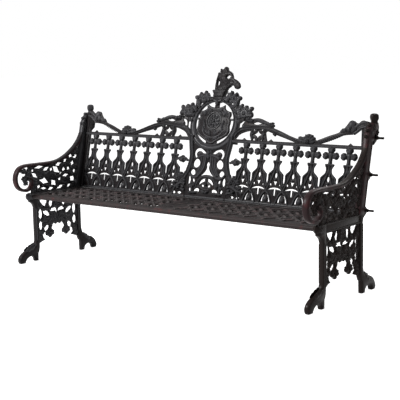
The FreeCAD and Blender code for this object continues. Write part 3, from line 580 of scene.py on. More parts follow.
def wingPlate(piece):  # grille of balusters between the rails
    w, start, end, half = wing, wing["start"], wing["end"], wing["pitch"] / 2
    tip, bend = w["head"] - 178, w["head"] - 164  # the slots' feet
    border = [(start, w["railUnder"], 1), (start, w["railTop"], 1), (end, w["railTop"], 1), (end, w["foot"], 1)]
    border += [(start, w["foot"], 1), (start, w["head"] - 190, 1), (start + 16, bend)]
    border += [(axes[0] - half - 16, bend), (axes[0] - half, tip, 1)]
    outlines = [border + balusterSide(axes[0], -1)[::-1]]
    for x in axes:
        outlines += balusterHoles(x)
    for x, following in zip(axes, axes[1:]):
        outlines.append(balusterSide(x, 1) + [(x + half, tip, 1)] + balusterSide(following, -1)[::-1])
        outlines += ballHoles(x + half)
    last = [(axes[-1] + half, tip, 1), (w["post"], tip, 1), (w["post"], w["railUnder"], 1)]
    outlines.append(balusterSide(axes[-1], 1) + last)
    outlines += [pointed((238, 447), 24, 13, 10), pointed((196, 447), 30, 12, 0)]
    plate(piece, outlines, w["grille"], w["edge"])


def balusterRelief(piece, x):  # ribs, straps and the rosettes of the head
    n = wing["head"]
    lines = (
        ([(15, -66), (14, -82), (20, -97), (34, -110), (44, -120), (45, -140), (46, -160), (56, -186)], 5.5),
        ([(0, -52), (3, -80), (9, -100), (18, -126), (27, -150), (42, -182), (56, -212)], 5),
        ([(24, -49), (21, -56), (13, -68)], 4.5),  # goblet
        ([(46, -209), (24, -208), (9, -209)], 4),
        ([(55, -214), (37, -230), (23, -256), (14, -284)], 5.5),  # strap to the foot
    )
    bar(piece, [(x, 762), (x, n + 8), (x, n - 24), (x, n - 42)], 8, 3, 0.8)
    bar(piece, [(x - 27, n - 47), (x + 27, n - 47)], 4.5, 4, 0.9)
    boss(piece, (x, n + 32), 21, 1, 13, 5, 0.08, True, 18)
    boss(piece, (x, n + 4), 16, 1, 9)
    boss(piece, (x, n - 150), 8, 3, 9)
    for sign in (-1, 1):
        boss(piece, (x + sign * 32, n), 20, 1, 13, 5, 0.08)
        boss(piece, (x + sign * 33, n), 6, 6, 9)
        for line, radius in lines:
            bar(piece, moved(flip(line, sign), x, n), radius, 6)
        leaf(piece, (x + sign * 31, n - 118), -90 + sign * 6, 40, 12, 2, 6, 2, -sign * 8)
        leaf(piece, (x + sign * 26, n - 206), -90 - sign * 16, 26, 12, 2, 6, 2)


def wingRelief(piece):  # rails, end post, and the leaf work next to the centre
    w, half = wing, wing["pitch"] / 2
    for x in axes:
        balusterRelief(piece, x)
    for x in axes[:-1]:
        boss(piece, (x + half, 457), 18, 0, 14)
    for level in (w["railMid"], w["footMid"]):
        moulding(piece, [(w["start"], level), (w["end"], level)], softSection(7, -9, 9, 4))
    bar(piece, [(w["start"], 766), (w["end"], 766)], 3.5, 8)
    for x in (240, 426, 941):
        plate(piece, [[(x - 24, 769, 1), (x, 788, 1), (x + 24, 769, 1)]], 12, 3)
    moulding(piece, [(1020, 424), (1020, 900)], softSection(9, -9, 9, 4), 0)  # end post
    knob = (200, 646)
    for step, radius, turn in ((0, 22, 30), (-20, 14, 0), (18, 13, 60)):
        boss(piece, (knob[0] + step, knob[1]), radius, 1, radius * 0.8, 5, 0.12, True, turn)
    bar(piece, [(250, 642), (228, 648), knob, (174, 644), (157, 640)], 8, 1)
    band = through([(157, 570), (166, 550), (180, 530), (202, 514)], 5)
    moulding(piece, band, ribbedSection(14, -6, 11))
    foot = ((200, 546, 24, 100), (226, 528, 22, 60), (178, 518, 22, 170), (240, 500, 20, 0))
    bunch(piece, foot, 3, 12, (1, -1))
    stems = (
        ([(158, 500), (182, 508), (206, 498), (228, 486), (250, 484), (268, 470)], 11),
        ([(158, 464), (184, 470), (212, 464)], 9),
    )
    for line, radius in stems:
        bar(piece, line, radius, 3, 1, (1, 0.7))
    boss(piece, (204, 478), 14, 4, 15, 5)
    boss(piece, (172, 482), 11, 4, 12)


def hung(points):  # heights measured from the swag's level
    return moved(points, 0, wing["swag"])


def swagPlate(piece):  # pierced plate above the rail
    s, sill = wing["swag"], wing["railTop"] + 6
    border = [(1029, 766, 1)] + hung([
        (1029, 0, 1), (1000, 5), (976, -11, 1), (950, -5), (924, -3), (906, -24, 1),
        (874, -56), (800, -84), (725, -112, 1), (700, -86), (670, -78), (642, -95, 1), (600, -107, 1),
        (520, -84), (438, -58), (430, -40, 1), (375, -16), (325, -3), (280, -8, 1), (236, -4),
        (202, -10), (187, -25), (187, -49), (185, -75), (178, -95), (167, -118),
    ]) + [(158, 766, 1)]
    outer = [(744, sill, 1)] + hung([(816, -100), (894, -78), (946, -72, 1), (998, -40, 1)]) + [(1006, sill, 1)]
    bow = hung([(500, -104), (444, -89), (400, -75, 1), (388, -80), (390, -98)])
    inner = [(586, sill, 1)] + bow + [(400, sill, 1)]
    star = hung([
        (332, -67, 1), (340, -86), (357, -95, 1), (340, -104),
        (332, -118, 1), (324, -104), (307, -95, 1), (324, -86),
    ])
    lobes = hung([(275, -94), (280, -77, 1), (256, -81), (238, -86, 1), (216, -94), (198, -104, 1)])
    spandrel = [(288, sill, 1)] + lobes + [(179, sill + 2, 1)]
    feet = [[(x - 10, sill, 1), (x + 9, sill, 1), (x, sill + 13, 1)] for x in (307, 363)]
    curl = hung([
        (230, -24, 1), (208, -27), (195, -46), (199, -66), (220, -74, 1), (224, -63, 1),
        (215, -57), (214, -45), (221, -36),
    ])
    slits = ((322, -33, 60, 12, 4), (303, -68, 16, 9, 20), (360, -68, 16, 9, -20))
    openings = [outer, inner, star, spandrel] + feet + [curl]
    openings += [pointed((u, s + v), length, width, tilt) for u, v, length, width, tilt in slits]
    plate(piece, [border] + openings, wing["thick"], wing["edge"])


def swag(piece):  # the plate with its band, rope, palm and leaves
    s = wing["swag"]
    swagPlate(piece)
    line = [
        (166, 792), (180, 815), (205, 832), (235, 841), (305, 848), (374, 849),
        (430, 841), (487, 824), (560, 798), (612, 781),
    ]
    moulding(piece, through(line, 5), ribbedSection(12, -7, 12), 2, lambda t: 1 - 0.25 * t)
    rope(piece, (890, s - 69), (738, s - 124), 10, 4, 0, 6)
    boss(piece, (227, s - 49), 8, 1, 7)
    palm = [(676, 778, 12 + 26 * k, 50 if 0 < k < 6 else 44) for k in range(7)]
    spray(piece, palm, 21, 3, 12, 0)
    spray(piece, ((660, 782, 168, 62), (650, 792, 160, 44)), 22, 3, 10, 0)
    boss(piece, (676, 784), 13, 5, 16, 6)
    for side in (-1, 1):
        ivy(piece, (938, s - 39), 40, 85, side * 3, 15, side, 3)
        leaf(piece, (926, s - 42), 192, 58, 26, side * 3, 11, 3, 10, side)
        leaf(piece, (290, s - 13), -5, 142, 22, side * 3, 11, 6, -14, side)
        ivy(piece, (418, s - 38), 20, -20, side * 3, 12, side)
        ivy(piece, (447, s - 86), 14, -80, side * 3, 9, side)
    boss(piece, (938, s - 41), 11, 6, 17, 5)
    stay = through(hung([(946, -58), (968, -42), (990, -26), (1012, -18), (1027, -16)]), 4)
    moulding(piece, stay, ribbedSection(18, -7, 12))
    bunch(piece, hung([(252, -18, 18, 60), (274, -22, 18, 20), (228, -12, 9, 120)]), 3, 12)
    for x, slant in ((293, 12), (373, -10)):  # leafy columns on each side of the star
        boss(piece, (x, s - 92), 12, 1, 11, 4, 0.16)
        leaf(piece, (x, s - 86), 90, 26, 18, 3, 9, 2)
        leaf(piece, (x, s - 96), -90 + slant, 34, 17, 3, 9, 2)
    leaf(piece, (332, 776), 90, 16, 14, 3, 8, 2)


def ears(piece, low, high):  # lugs behind the back that the joint bolts go through
    for level in wing["earLevels"]:
        block(piece, (low, level - wing["earHalf"], -40), (high, level + wing["earHalf"], -4))


def wingFlange(piece):  # plate against the end frame, behind the back
    section = [(-9, 422), (38, 422), (38, 788), (60, 812), (60, 844), (30, 905), (-9, 905)]
    points = [(u, v, -w) for u in (1024, 1033.8) for w, v in section]
    addFaces(piece, points, skin(2, len(section)))
    ears(piece, wing["start"], wing["start"] + wing["earThick"])


def backWing(sign, name):
    piece = newPiece()
    wingPlate(piece)
    wingRelief(piece)
    swag(piece)
    wingFlange(piece)
    makeObject([(piece, backPlane(sign))], "casting_" + name, castingPaints, "casting", name)


backWing(1, "back_wing_right")
backWing(-1, "back_wing_left")
print("back wings made")


# Centre of the back
centre = {
    "upright": 146, "foot": 422, "ring": 856, "outer": (178, 156), "bore": (138, 129), "boreRise": 11,
    "around": 96, "crestSeat": 1022, "crestDepth": -8,
}


def tracery(piece):  # pierced plate below the ring, its stems and the uprights' bands
    foot, upright = centre["foot"], centre["upright"]
    keyhole = [(0, 640, 1), (11, 624), (8, 606), (13, 590), (27, 572), (50, 553, 1), (26, 561), (0, 564)]
    holes = [keyhole + flip(keyhole[-2:0:-1], -1)]
    curl = [
        (24, 687, 1), (46, 704), (78, 714), (104, 702), (110, 680), (99, 658, 1), (88, 662, 1), (94, 681),
        (85, 694), (68, 698), (46, 687),
    ]
    oval = [(86, 651), (103, 641), (110, 622), (105, 607), (89, 600, 1), (73, 607), (62, 622), (68, 643)]
    low = [(105, 589), (119, 584), (125, 572), (116, 560), (101, 557), (91, 565), (92, 578)]
    gap = [(130, 552, 1), (138, 538), (138, 512), (130, 500, 1), (121, 514), (121, 538)]
    crescent = [(10, 541, 1), (30, 535), (46, 521), (54, 503, 1), (42, 509), (30, 517), (12, 525, 1)]
    hook = [(48, 474), (62, 481), (80, 476), (90, 460, 1), (78, 464), (62, 466), (52, 459, 1)]
    slits = [pointed((23, 498), 20, 11, 15), pointed((96, 526), 24, 12, 60), pointed((118, 470), 26, 13, 70)]
    shapes = [curl, oval, low, gap, crescent, hook] + slits
    for sign in (-1, 1):
        holes += [flip(shape, sign) for shape in shapes]
    edge = [
        (upright, foot, 1), (148, 572, 1), (142, 590), (133, 620), (128, 655), (131, 690), (140, 735),
        (upright, 742, 1),
    ]
    plate(piece, [edge + flip(edge, -1)[::-1]] + holes, 9, 2.2)
    band = [(146, 790), (146, 768), (141, 735), (132, 690), (128, 658), (133, 620), (143, 590), (150, 568)]
    lines = (
        ([(8, 704), (17, 676), (20, 646), (26, 610), (42, 580), (68, 552)], 9),
        ([(32, 672), (34, 644), (40, 612), (54, 586), (74, 560)], 6),
        ([(14, 680), (40, 674), (62, 668), (80, 660)], 7),
        ([(50, 662), (52, 640), (56, 606), (70, 584), (84, 560)], 6),
        ([(114, 664), (119, 634), (117, 606), (130, 592)], 5),
        ([(76, 478), (68, 512), (52, 536), (28, 549), (0, 552)], 6),
        ([(66, 550), (92, 544), (112, 548), (132, 566)], 8),
        ([(78, 528), (84, 506), (104, 498), (120, 486)], 8),
        ([(100, 500), (104, 474), (100, 450)], 8),
    )
    spray(piece, ((30, 470, 200, 34), (62, 456, -8, 40), (124, 452, 170, 30)), 19, 4, 10, 15, (-1, 1), (1, -1))
    for sign in (-1, 1):
        moulding(piece, flip(through(band, 5), sign), ribbedSection(15, -8, 13))
        moulding(piece, flip([(upright, foot + 1), (upright, 572)], sign), softSection(7.6, -9, 4, 2), 0)
        for line, radius in lines:
            bar(piece, flip(line, sign), radius, 4, 0.9)
        boss(piece, (sign * 70, 681), 12, 1, 10)
        boss(piece, (sign * 86, 500), 12, 4, 12, 5)
        boss(piece, (sign * 108, 506), 10, 4, 11)
        ears(piece, *sorted((sign * 142, sign * 154)))
    boss(piece, (0, 508), 12, 3, 12, 6)
    bar(piece, [(0, 544), (0, 476)], 5, 3)
    bar(piece, [(-44, 490), (-20, 480), (0, 476), (20, 480), (44, 490)], 5, 3)
    boss(piece, (0, 690), 15, 4, 14, 5)
    leaf(piece, (0, 706), -90, 52, 26, 8, 9, 3)
    moulding(piece, [(-upright, wing["footMid"]), (upright, wing["footMid"])], softSection(7, -9, 9, 4))


def ringPoint(half, rise, turn):  # turn from the top of an oval with these half axes
    return half[0] * math.sin(turn), centre["ring"] + (rise + half[1] * math.cos(turn)) * math.cos(lean)


def ring(piece):  # oval frame, wide at the sides, with two fine raised lines
    profile = [(0, -19), (0, -3), (0.05, 2), (0.13, 7), (0.2, 8), (0.27, 5), (0.34, 2)]
    profile += [(0.62, 1), (0.7, 4), (0.78, 8), (0.87, 7), (0.95, 2), (1, -2), (1, -9), (0.7, -19)]
    count = centre["around"]
    points = []
    for k in range(count):
        turn = 2 * math.pi * k / count
        rim, bore = ringPoint(centre["outer"], 0, turn), ringPoint(centre["bore"], centre["boreRise"], turn)
        points += [(rim[0] + (bore[0] - rim[0]) * q, rim[1] + (bore[1] - rim[1]) * q, w) for q, w in profile]
    addFaces(piece, points, skin(count, len(profile), True), 2)


def shoulders(piece):  # two tiers of lobed leaves that climb the ring
    upper = [
        (30, 996, 1), (34, 1018), (56, 1022), (70, 1028, 1), (74, 1044), (86, 1044, 1), (90, 1055), (104, 1055),
        (110, 1040), (114, 1032, 1), (122, 1043), (138, 1046), (145, 1034), (144, 1022, 1), (156, 1028),
        (172, 1022), (172, 1008), (160, 1000, 1), (158, 978), (154, 930, 1), (120, 984),
    ]
    lower = [
        (150, 968, 1), (172, 966, 1), (178, 982), (192, 982), (196, 968), (202, 962, 1), (214, 974), (228, 972),
        (232, 958), (240, 954, 1), (252, 968), (268, 964), (266, 948), (256, 940, 1), (270, 930), (272, 912),
        (258, 904), (240, 906, 1), (210, 896), (172, 892, 1),
    ]
    tips = (
        (80, 1038, 8), (98, 1048, 10), (132, 1039, 11), (164, 1017, 11), (185, 974, 9), (220, 966, 9),
        (259, 958, 10), (262, 918, 11),
    )
    veins = (
        ((60, 1000), (84, 1020), (98, 1046)), ((96, 992), (118, 1014), (132, 1036)),
        ((124, 978), (148, 1000), (162, 1014)), ((164, 930), (178, 954), (185, 972)),
        ((172, 920), (206, 946), (219, 964)), ((178, 912), (226, 938), (256, 956)),
        ((180, 906), (222, 914), (260, 918)),
    )
    eye = (214, 926)
    for sign in (-1, 1):
        for outline in (upper, lower):
            plate(piece, [flip(outline, sign)], 16, 5, 0)
            foliage(piece, [flip(outline, sign)], 17, 7, 7, (1, -1), 9)
        for u, v, radius in tips:
            boss(piece, (sign * u, v), radius, 1, radius * 1.1)
        for line in veins:
            bar(piece, flip(line, sign), 4.5, 9, 1, (1.2, 0.7))
        for turn in (24, 36, 48, 60, 72, 84):  # leaves that spring from the ring
            u, v = ringPoint((160, 144), 4, math.radians(turn))
            leaf(piece, (sign * u, v), facing(96 - turn, sign), 58, 27, 4, 9, 3)
        bar(piece, flip(circle(eye, 17, 8), sign), 5, 11, closed=True)
        boss(piece, (sign * eye[0], eye[1]), 9, 10, 10)


def stemsAndPad(piece):  # stems behind the shield, and the socket that the crest stands in
    bar(piece, [(-centre["upright"], 890), (centre["upright"], 890)], 7, -6)
    for low, high in (((-16, 952), (16, 1010)), ((-40, 728), (40, 782))):
        plate(piece, [rectangle(low, high)], 8, 1.5, -4)
    socket = [(-20, 988, 1), (20, 988, 1), (34, 1006), (38, 1023, 1), (-38, 1023, 1), (-34, 1006)]
    plate(piece, [socket], 30, 5, -6)
    bar(piece, [(-30, 1000), (0, 994), (30, 1000)], 4, 7)
    leaf(piece, (0, 1012), -90, 44, 26, 6, 9, 3)


def backCentre():
    flat, crown = newPiece(), newPiece()
    tracery(flat)
    ring(crown)
    shoulders(crown)
    stemsAndPad(crown)
    parts = [(flat, backPlane()), (crown, crownPlane)]
    makeObject(parts, "casting_back_centre", castingPaints, "casting", "back_centre")


backCentre()


badge = {"face": 4, "middle": 862, "medal": (0, 878), "rim": 0.91, "beads": 0.81}


def shrunk(points, share):  # an outline drawn smaller inside itself
    middle = badge["middle"]
    return [(p[0] * share, middle + (p[1] - middle) * share) for p in points]


def shield():  # shaped shield: beaded border, a round medal with a rosette, leaf sprays above and below
    piece = newPiece()
    face, medal = badge["face"], badge["medal"]
    right = [
        (0, 958), (30, 960), (52, 968), (62, 974, 1), (68, 952), (84, 941), (112, 934, 1), (117, 914),
        (110, 897, 1), (119, 880), (117, 850), (121, 818), (108, 794, 1), (78, 777), (46, 761),
    ]
    outline = right + [(0, 738, 1)] + flip(right[:0:-1], -1)
    plate(piece, [outline], 13, 4, face - 5)
    bar(piece, shrunk(outline, badge["rim"]), 4, face, 0.8, closed=True)
    for spot in through(shrunk(outline + outline[:1], badge["beads"]), 3)[::2]:
        boss(piece, spot, 4.5, face, 5, both=False)
    for radius, thick in ((50, 4), (38, 3), (18, 3)):
        bar(piece, circle(medal, radius, 16), thick, face + 3, closed=True)
    boss(piece, medal, 48, face - 2, 6, both=False)
    for k, root in enumerate(circle(medal, 14, 8)):
        leaf(piece, root, 45 * k, 26, 17, face + 3, 7, 2)
    boss(piece, medal, 12, face + 4, 8, 6, 0.15, False)
    leaves = (
        (12, 796, 20, 52), (10, 788, 55, 40), (8, 772, 4, 44), (52, 808, 40, 40), (68, 830, 90, 34),
        (16, 936, 8, 44), (60, 932, -30, 34),
    )
    spray(piece, leaves, 19, face, 8, 25, (-1, 1), (1,))
    spray(piece, ((70, 904, 80, 28), (74, 884, -90, 34), (58, 912, 150, 26)), 15, face, 8, -25, (-1, 1), (1,))
    for sign in (-1, 1):
        bar(piece, flip([(2, 780), (30, 786), (58, 800), (76, 826), (70, 842), (60, 836)], sign), 3.5, face + 1)
        boss(piece, (sign * 61, 960), 8, face, 6, both=False)
    makeObject([(piece, crownPlane)], "casting_shield", castingPaints, "casting", "shield")


shield()


snout = {"from": 70, "over": 90, "thinned": 0.5}


def crestHead():  # a beast's head on a cup, drawn in outline, rounded and thinned towards the snout
    piece = newPiece()
    b, depth = centre["crestSeat"], centre["crestDepth"]
    neck = [(-36, 36, 1), (-41, 58), (-41, 86), (-39, 112), (-34, 132), (-30, 147, 1), (-20, 140)]
    ear = [(-15, 150, 1), (-19, 169, 1), (-6, 162), (2, 163, 1), (11, 178), (24, 179, 1), (31, 166)]
    brow = [(37, 154, 1), (52, 153), (65, 143), (72, 126), (80, 114), (104, 104), (126, 91), (140, 75)]
    jaw = [(143, 62), (134, 51), (118, 48), (106, 52), (97, 63), (84, 71), (70, 61), (56, 51), (44, 36, 1)]
    eye, slit = pointed((47, b + 119), 38, 18, 0), pointed((-20, b + 84), 52, 17, 97)
    outlines = [moved(neck + ear + brow + jaw, 0, b), eye, slit]
    plate(piece, outlines, 24, 7)
    foliage(piece, outlines, 11, 10, 5, (-1, 1), 2, 7)
    features = (
        ([(18, 134), (44, 139), (64, 134), (75, 114)], 5),
        ([(66, 108), (86, 102), (110, 88), (126, 80)], 5),
        ([(58, 66), (84, 80), (110, 72), (132, 64)], 3.5),
    )
    mane = (
        ([(-34, 44), (-34, 84), (-32, 116), (-26, 138)], 6, 3),
        ([(2, 46), (5, 80), (4, 110), (-6, 138)], 6, 2),
        ([(22, 44), (21, 76), (18, 104), (6, 134)], 5, 2),
    )
    for side in (-1, 1):
        boss(piece, (42, b + 80), 18, side * 6, side * 11, both=False)
        for line, radius in features:
            bar(piece, moved(line, 0, b), radius, side * 9)
        boss(piece, (128, b + 70), 8, side * 5, 9)
        for line, radius, sunk in mane:
            bar(piece, moved(line, 0, b), radius, side * (9 - sunk), 1, (1, 0.6))
        leaf(piece, (-12, b + 132), 96, 36, 16, side * 4, 7, 2, 0, side)
        leaf(piece, (14, b + 140), 82, 40, 18, side * 4, 7, 2, 0, side)
    thinned = []
    for u, v, w in piece["points"]:
        share = 1 - snout["thinned"] * min(max((u - snout["from"]) / snout["over"], 0), 1)
        thinned.append((u, v, depth + w * share))
    piece["points"] = thinned
    cup = moved([(-38, 0, 1), (38, 0, 1), (38, 8), (41, 18), (47, 30, 1), (47, 41, 1)], 0, b)
    plate(piece, [cup + flip(cup[:1:-1], -1)], 36, 7, depth)
    for level, reach in ((b + 35, 46), (b + 27, 43), (b + 6, 36)):
        for side in (-1, 1):
            bar(piece, [(-reach, level), (reach, level)], 3.5, depth + side * 17)
    materials = [ironBlack, ironRubbed, ironBlack]
    makeObject([(piece, crownPlane)], "casting_crest_head", materials, "casting", "crest_head")


crestHead()
print("centre of the back made")


# End frames
leg = {
    "thick": 32, "edge": 7, "web": 6, "webEdge": 1.8, "slant": 7, "armHalf": 9.5, "armLift": 3.5, "armWide": 18,
    "archMid": 341, "lugs": ((566, 444), (607, 629), (671, 818)),
}


def legs(piece, stileWearAndSheen):  # the stile's finish: rubbed primer on the right end, and on the left the lighter raised paint, a painted highlight on its shaded face
    toes = [
        (156, 0, 1), (132, 0, 1), (124, 22), (108, 34), (90, 35), (64, 24), (46, 0, 1), (14, 0, 1), (6, 16),
        (11, 40), (32, 60),
    ]
    shin = [
        (60, 74), (92, 84), (124, 97), (142, 124), (145, 160), (145, 300), (142, 345), (128, 364),
        (108, 378, 1), (112, 432, 1),
    ]
    calf = [(172, 432, 1), (172, 140), (170, 80), (164, 54, 1), (158, 48, 1)]
    heel = [
        (535, 0, 1), (560, 0, 1), (570, 24), (598, 37), (628, 26), (640, 0, 1), (668, 0, 1), (676, 16),
        (668, 42), (645, 70), (598, 91),
    ]
    rear = [
        (560, 108), (541, 145), (537, 200), (537, 383, 1), (551, 434, 1), (500, 434, 1), (510, 383, 1),
        (510, 140), (513, 100), (524, 72, 1), (533, 66, 1),
    ]
    stile = [
        (549, 424, 1), (634, 800, 1), (694, 828, 1), (704, 874, 1), (696, 898, 1), (638, 898, 1), (611, 872, 1),
        (587, 834, 1), (497, 424, 1),
    ]
    plate(piece, [toes + shin + calf], leg["thick"], leg["edge"], 0, 5)
    plate(piece, [heel + rear], leg["thick"], leg["edge"], 0, 5)
    plate(piece, [stile], leg["thick"], 5, 0, 5, stileWearAndSheen)
    plate(piece, [rectangle((146, 384), (534, 432))], 22, 3)
    ribs = (
        ([(151, 130), (151, 330)], 4, 2), ([(166, 110), (166, 330)], 4, 2),
        ([(516, 140), (516, 380)], 4, 2), ([(531, 150), (531, 380)], 4, 2),
        ([(508, 440), (560, 670), (592, 810)], 5, stileWearAndSheen), ([(545, 440), (594, 660), (628, 800)], 5, stileWearAndSheen),
    )
    for side in (-1, 1):
        d = side * 15
        for line, radius, finish in ribs:
            bar(piece, line, radius, d, 0.8, finish=finish)
        bar(piece, [(20, 44), (58, 66), (104, 80), (140, 104)], 6, d - side * 3, 0.8, (0.6, 1))
        bar(piece, [(655, 50), (610, 78), (560, 98)], 6, d - side * 3, 0.8, (0.6, 1))
        for level in (388, 427):
            bar(piece, [(148, level), (534, level)], 4.5, side * 11)
        # carved leaf on each foot
        leaf(piece, (136, 112), 232, 92, 38, d - side * 5, 8, 3, -52, side)
        leaf(piece, (552, 118), -60, 96, 38, d - side * 5, 8, 3, 40, side)
        bar(piece, [(12, 12), (20, 36), (46, 52), (84, 60)], 4.5, d - side * 4, 0.8, (0.8, 1))
        bar(piece, [(670, 12), (660, 36), (634, 56), (600, 66)], 4.5, d - side * 4, 0.8, (0.8, 1))
        plate(piece, [rectangle((612, 842), (640, 856))], 4, 1.5, d + side)


def lugsAndHead(piece):  # lugs for the studs, bud finial, leaves on the stile's head
    lug = [(-24, -36, 1), (12, -9), (15, 0), (12, 9), (-24, 34, 1)]
    for place in leg["lugs"]:
        plate(piece, [moved(lug, *place)], leg["thick"], 4)
    bud = [(19, -4), (18, 4), (19, 11), (23, 19), (24, 29), (23, 38), (20, 45), (12, 49), (2, 50)]
    lathe(piece, bud, (676, 898, 0), 24, 4)
    for spot in ((586, 832), (600, 864), (624, 890)):
        boss(piece, spot, 11, 0, 13)
    for side in (-1, 1):
        ivy(piece, (650, 872), 22, 90, side * 13, 7, side)
        ivy(piece, (680, 846), 20, 0, side * 13, 8, side)


def arm(piece):  # band in two runs, the front one rubbed by hands and rolled into a scroll
    rear = [(600, 796), (566, 736), (524, 690), (476, 656), (430, 631), (372, 610), (310, 601)]
    front = [
        (310, 601), (200, 601), (80, 601), (28, 580), (7, 528), (28, 476), (80, 455), (114, 464), (131, 492),
        (122, 520), (100, 528),
    ]
    perSpan = 6
    line = through(rear + front[1:], perSpan)
    split = (len(rear) - 1) * perSpan + 1
    wide = leg["armWide"]
    section = [(a - leg["armLift"], w) for a, w in softSection(leg["armHalf"], -wide, wide, 7)]
    moulding(piece, line[:split + 1], section, 0)
    moulding(piece, line[split:], section, 1, lambda t: 1 if t < 0.55 else 1 - 0.55 * (t - 0.55) / 0.45)
    scroll = (
        (102, 538, 22, 110), (76, 524, 20, 180), (88, 500, 20, 230), (120, 520, 20, 40), (112, 560, 22, 100),
        (78, 570, 22, 150), (54, 578, 15, 170),
    )
    bunch(piece, scroll, 3, 10)
    for side in (-1, 1):
        bar(piece, [(p[0], p[1]) for p in line[6:-18:5]], 3.5, side * 17, 0.9, finish=1)
    boss(piece, (102, 520), 11, 0, 15, 5)


def widen(points, by):  # an opening made longer towards front and back, as it is seen at a slant
    low, high = min(p[0] for p in points), max(p[0] for p in points)
    middle, grow = (low + high) / 2, 1 + by / (high - low)
    return [(middle + (u - middle) * grow, *rest) for u, *rest in points]


gapForm = {"corners": 8, "out": 0.56, "in": 0.36, "jitter": 0.2, "reach": (0.85, 1.1)}


def ragged(centre, length, width, tilt, draw):  # opening between leaves: its edge goes in and out
    c, s = math.cos(math.radians(tilt)), math.sin(math.radians(tilt))
    form, points, count = gapForm, [], gapForm["corners"]
    for k in range(count):
        turn = 2 * math.pi * (k + draw.uniform(-form["jitter"], form["jitter"])) / count
        reach = form["out" if k % 2 == 0 else "in"] * draw.uniform(*form["reach"])
        a, b = reach * length * math.cos(turn), reach * width * math.sin(turn)
        corner = (1,) if k % 2 == 0 else ()
        points.append((centre[0] + c * a - s * b, centre[1] + s * a + c * b, *corner))
    return points


def armWeb(piece):  # leaf work between seat and arm; openings as (u, v, length, width, tilt)
    border = [
        (125, 426, 1), (129, 502), (119, 546), (103, 598, 1), (321, 598, 1), (441, 628), (555, 742, 1),
        (585, 742, 1), (530, 426, 1),
    ]
    top = (
        (199, 586, 66, 19, 3), (259, 569, 46, 23, 18), (366, 588, 44, 23, 16), (425, 604, 30, 20, 40),
        (474, 632, 30, 23, 60), (514, 624, 36, 24, 20), (547, 690, 40, 12, 66), (146, 570, 26, 15, 60),
    )
    middle = (
        (162, 538, 54, 22, -38), (344, 557, 66, 36, -42), (410, 551, 30, 20, 80), (452, 552, 24, 20, 40),
        (488, 582, 36, 20, 70), (424, 511, 44, 22, 8), (302, 560, 28, 16, 70), (386, 528, 22, 14, 30),
    )
    low = (
        (238, 494, 66, 36, -20), (318, 474, 46, 34, -50), (484, 481, 50, 30, -40), (376, 442, 56, 20, 16),
        (290, 440, 46, 18, 10), (232, 448, 36, 16, -10), (372, 492, 26, 15, 60), (190, 462, 32, 16, 60),
        (450, 442, 30, 16, 30), (504, 532, 30, 16, 80),
    )
    draw = np.random.default_rng(11)
    outlines = [border]
    for u, v, length, width, tilt in top + middle + low:
        outlines.append(widen(ragged((u, v), length, width, tilt, draw), leg["slant"]))
    plate(piece, outlines, leg["web"], leg["webEdge"])
    foliage(piece, outlines, 13, 2.5, 6, (-1, 1), 7)
    vines = (
        [(150, 440), (176, 492), (206, 522), (250, 542), (292, 534), (330, 514), (372, 512), (400, 532)],
        [(206, 478), (262, 462), (290, 468), (300, 500), (330, 514)],
        [(410, 470), (440, 470), (462, 500), (470, 530)],
        [(206, 522), (216, 552), (230, 580)],
        [(392, 572), (440, 584), (462, 604), (500, 600)],
    )
    for side in (-1, 1):
        for line in vines:
            bar(piece, line, 4, side * 3, 0.9)
    flowers = (222, 548), (284, 524), (330, 512), (404, 478), (440, 584), (272, 462), (512, 448), (300, 590)
    for spot in flowers:
        boss(piece, spot, 9, 0, 9, 5)


def archWeb(piece):  # leaf work under the seat, with hanging trefoils
    m = leg["archMid"]
    cusps = [
        (205, 112, 1), (234, 121, 1), (216, 133), (210, 150), (224, 166, 1), (236, 166), (234, 150),
        (246, 142, 1), (254, 148, 1), (260, 134), (271, 129), (282, 134),
    ]
    scallops = [
        (288, 148, 1), (298, 142), (308, 152), (305, 166, 1), (287, 186, 1), (293, 204), (308, 216, 1),
        (322, 206),
    ]
    half = [(164, 393, 1), (164, 100, 1)] + cusps + scallops
    border = half + [(m, 215, 1)] + flip(half, -1, m)[::-1]
    hook = [(-62, 298, 1), (-50, 312), (-26, 314), (-8, 304), (-6, 276, 1), (-18, 292), (-40, 294)]
    wedge = [(-150, 378, 1), (-82, 378, 1), (-90, 352), (-104, 332, 1), (-128, 350)]
    slits = (
        (-54, 350, 58, 28, 80), (-96, 288, 66, 26, -32), (-146, 288, 76, 26, 90), (-146, 216, 62, 28, 90),
        (-102, 190, 56, 30, 40),
    )
    shapes = [moved(shape, m) for shape in (hook, wedge)]
    shapes += [pointed((m + u, v), a, b, t) for u, v, a, b, t in slits]
    outlines = [border] + [flip(shape, sign, m) for sign in (-1, 1) for shape in shapes]
    plate(piece, outlines, leg["web"], leg["webEdge"])
    foliage(piece, outlines, 14, 2.5, 6, (-1, 1), 5)
    vines = (
        ([(176, 252), (206, 248), (240, 252), (280, 262), (320, 262), (341, 262)], 5),
        ([(226, 172), (216, 206), (226, 232), (256, 244)], 5),
        ([(271, 176), (278, 210), (266, 240)], 8),
        ([(262, 322), (264, 346), (260, 378)], 4),
        ([(186, 332), (216, 326), (250, 320), (272, 318), (300, 322), (341, 324)], 4),
    )
    for sign in (-1, 1):
        for side in (-1, 1):
            for line, radius in vines:
                bar(piece, flip(line, sign, m), radius, side * 2.5, 0.9)
        u = m + sign * 70
        boss(piece, (u, 160), 16, 0, 17, 5, 0.15)
        for step, v in ((-21, 154), (21, 154), (0, 141)):  # trefoil drop
            boss(piece, (u + step, v), 14, 0, 15)
    boss(piece, (m, 244), 16, 0, 12, 6)


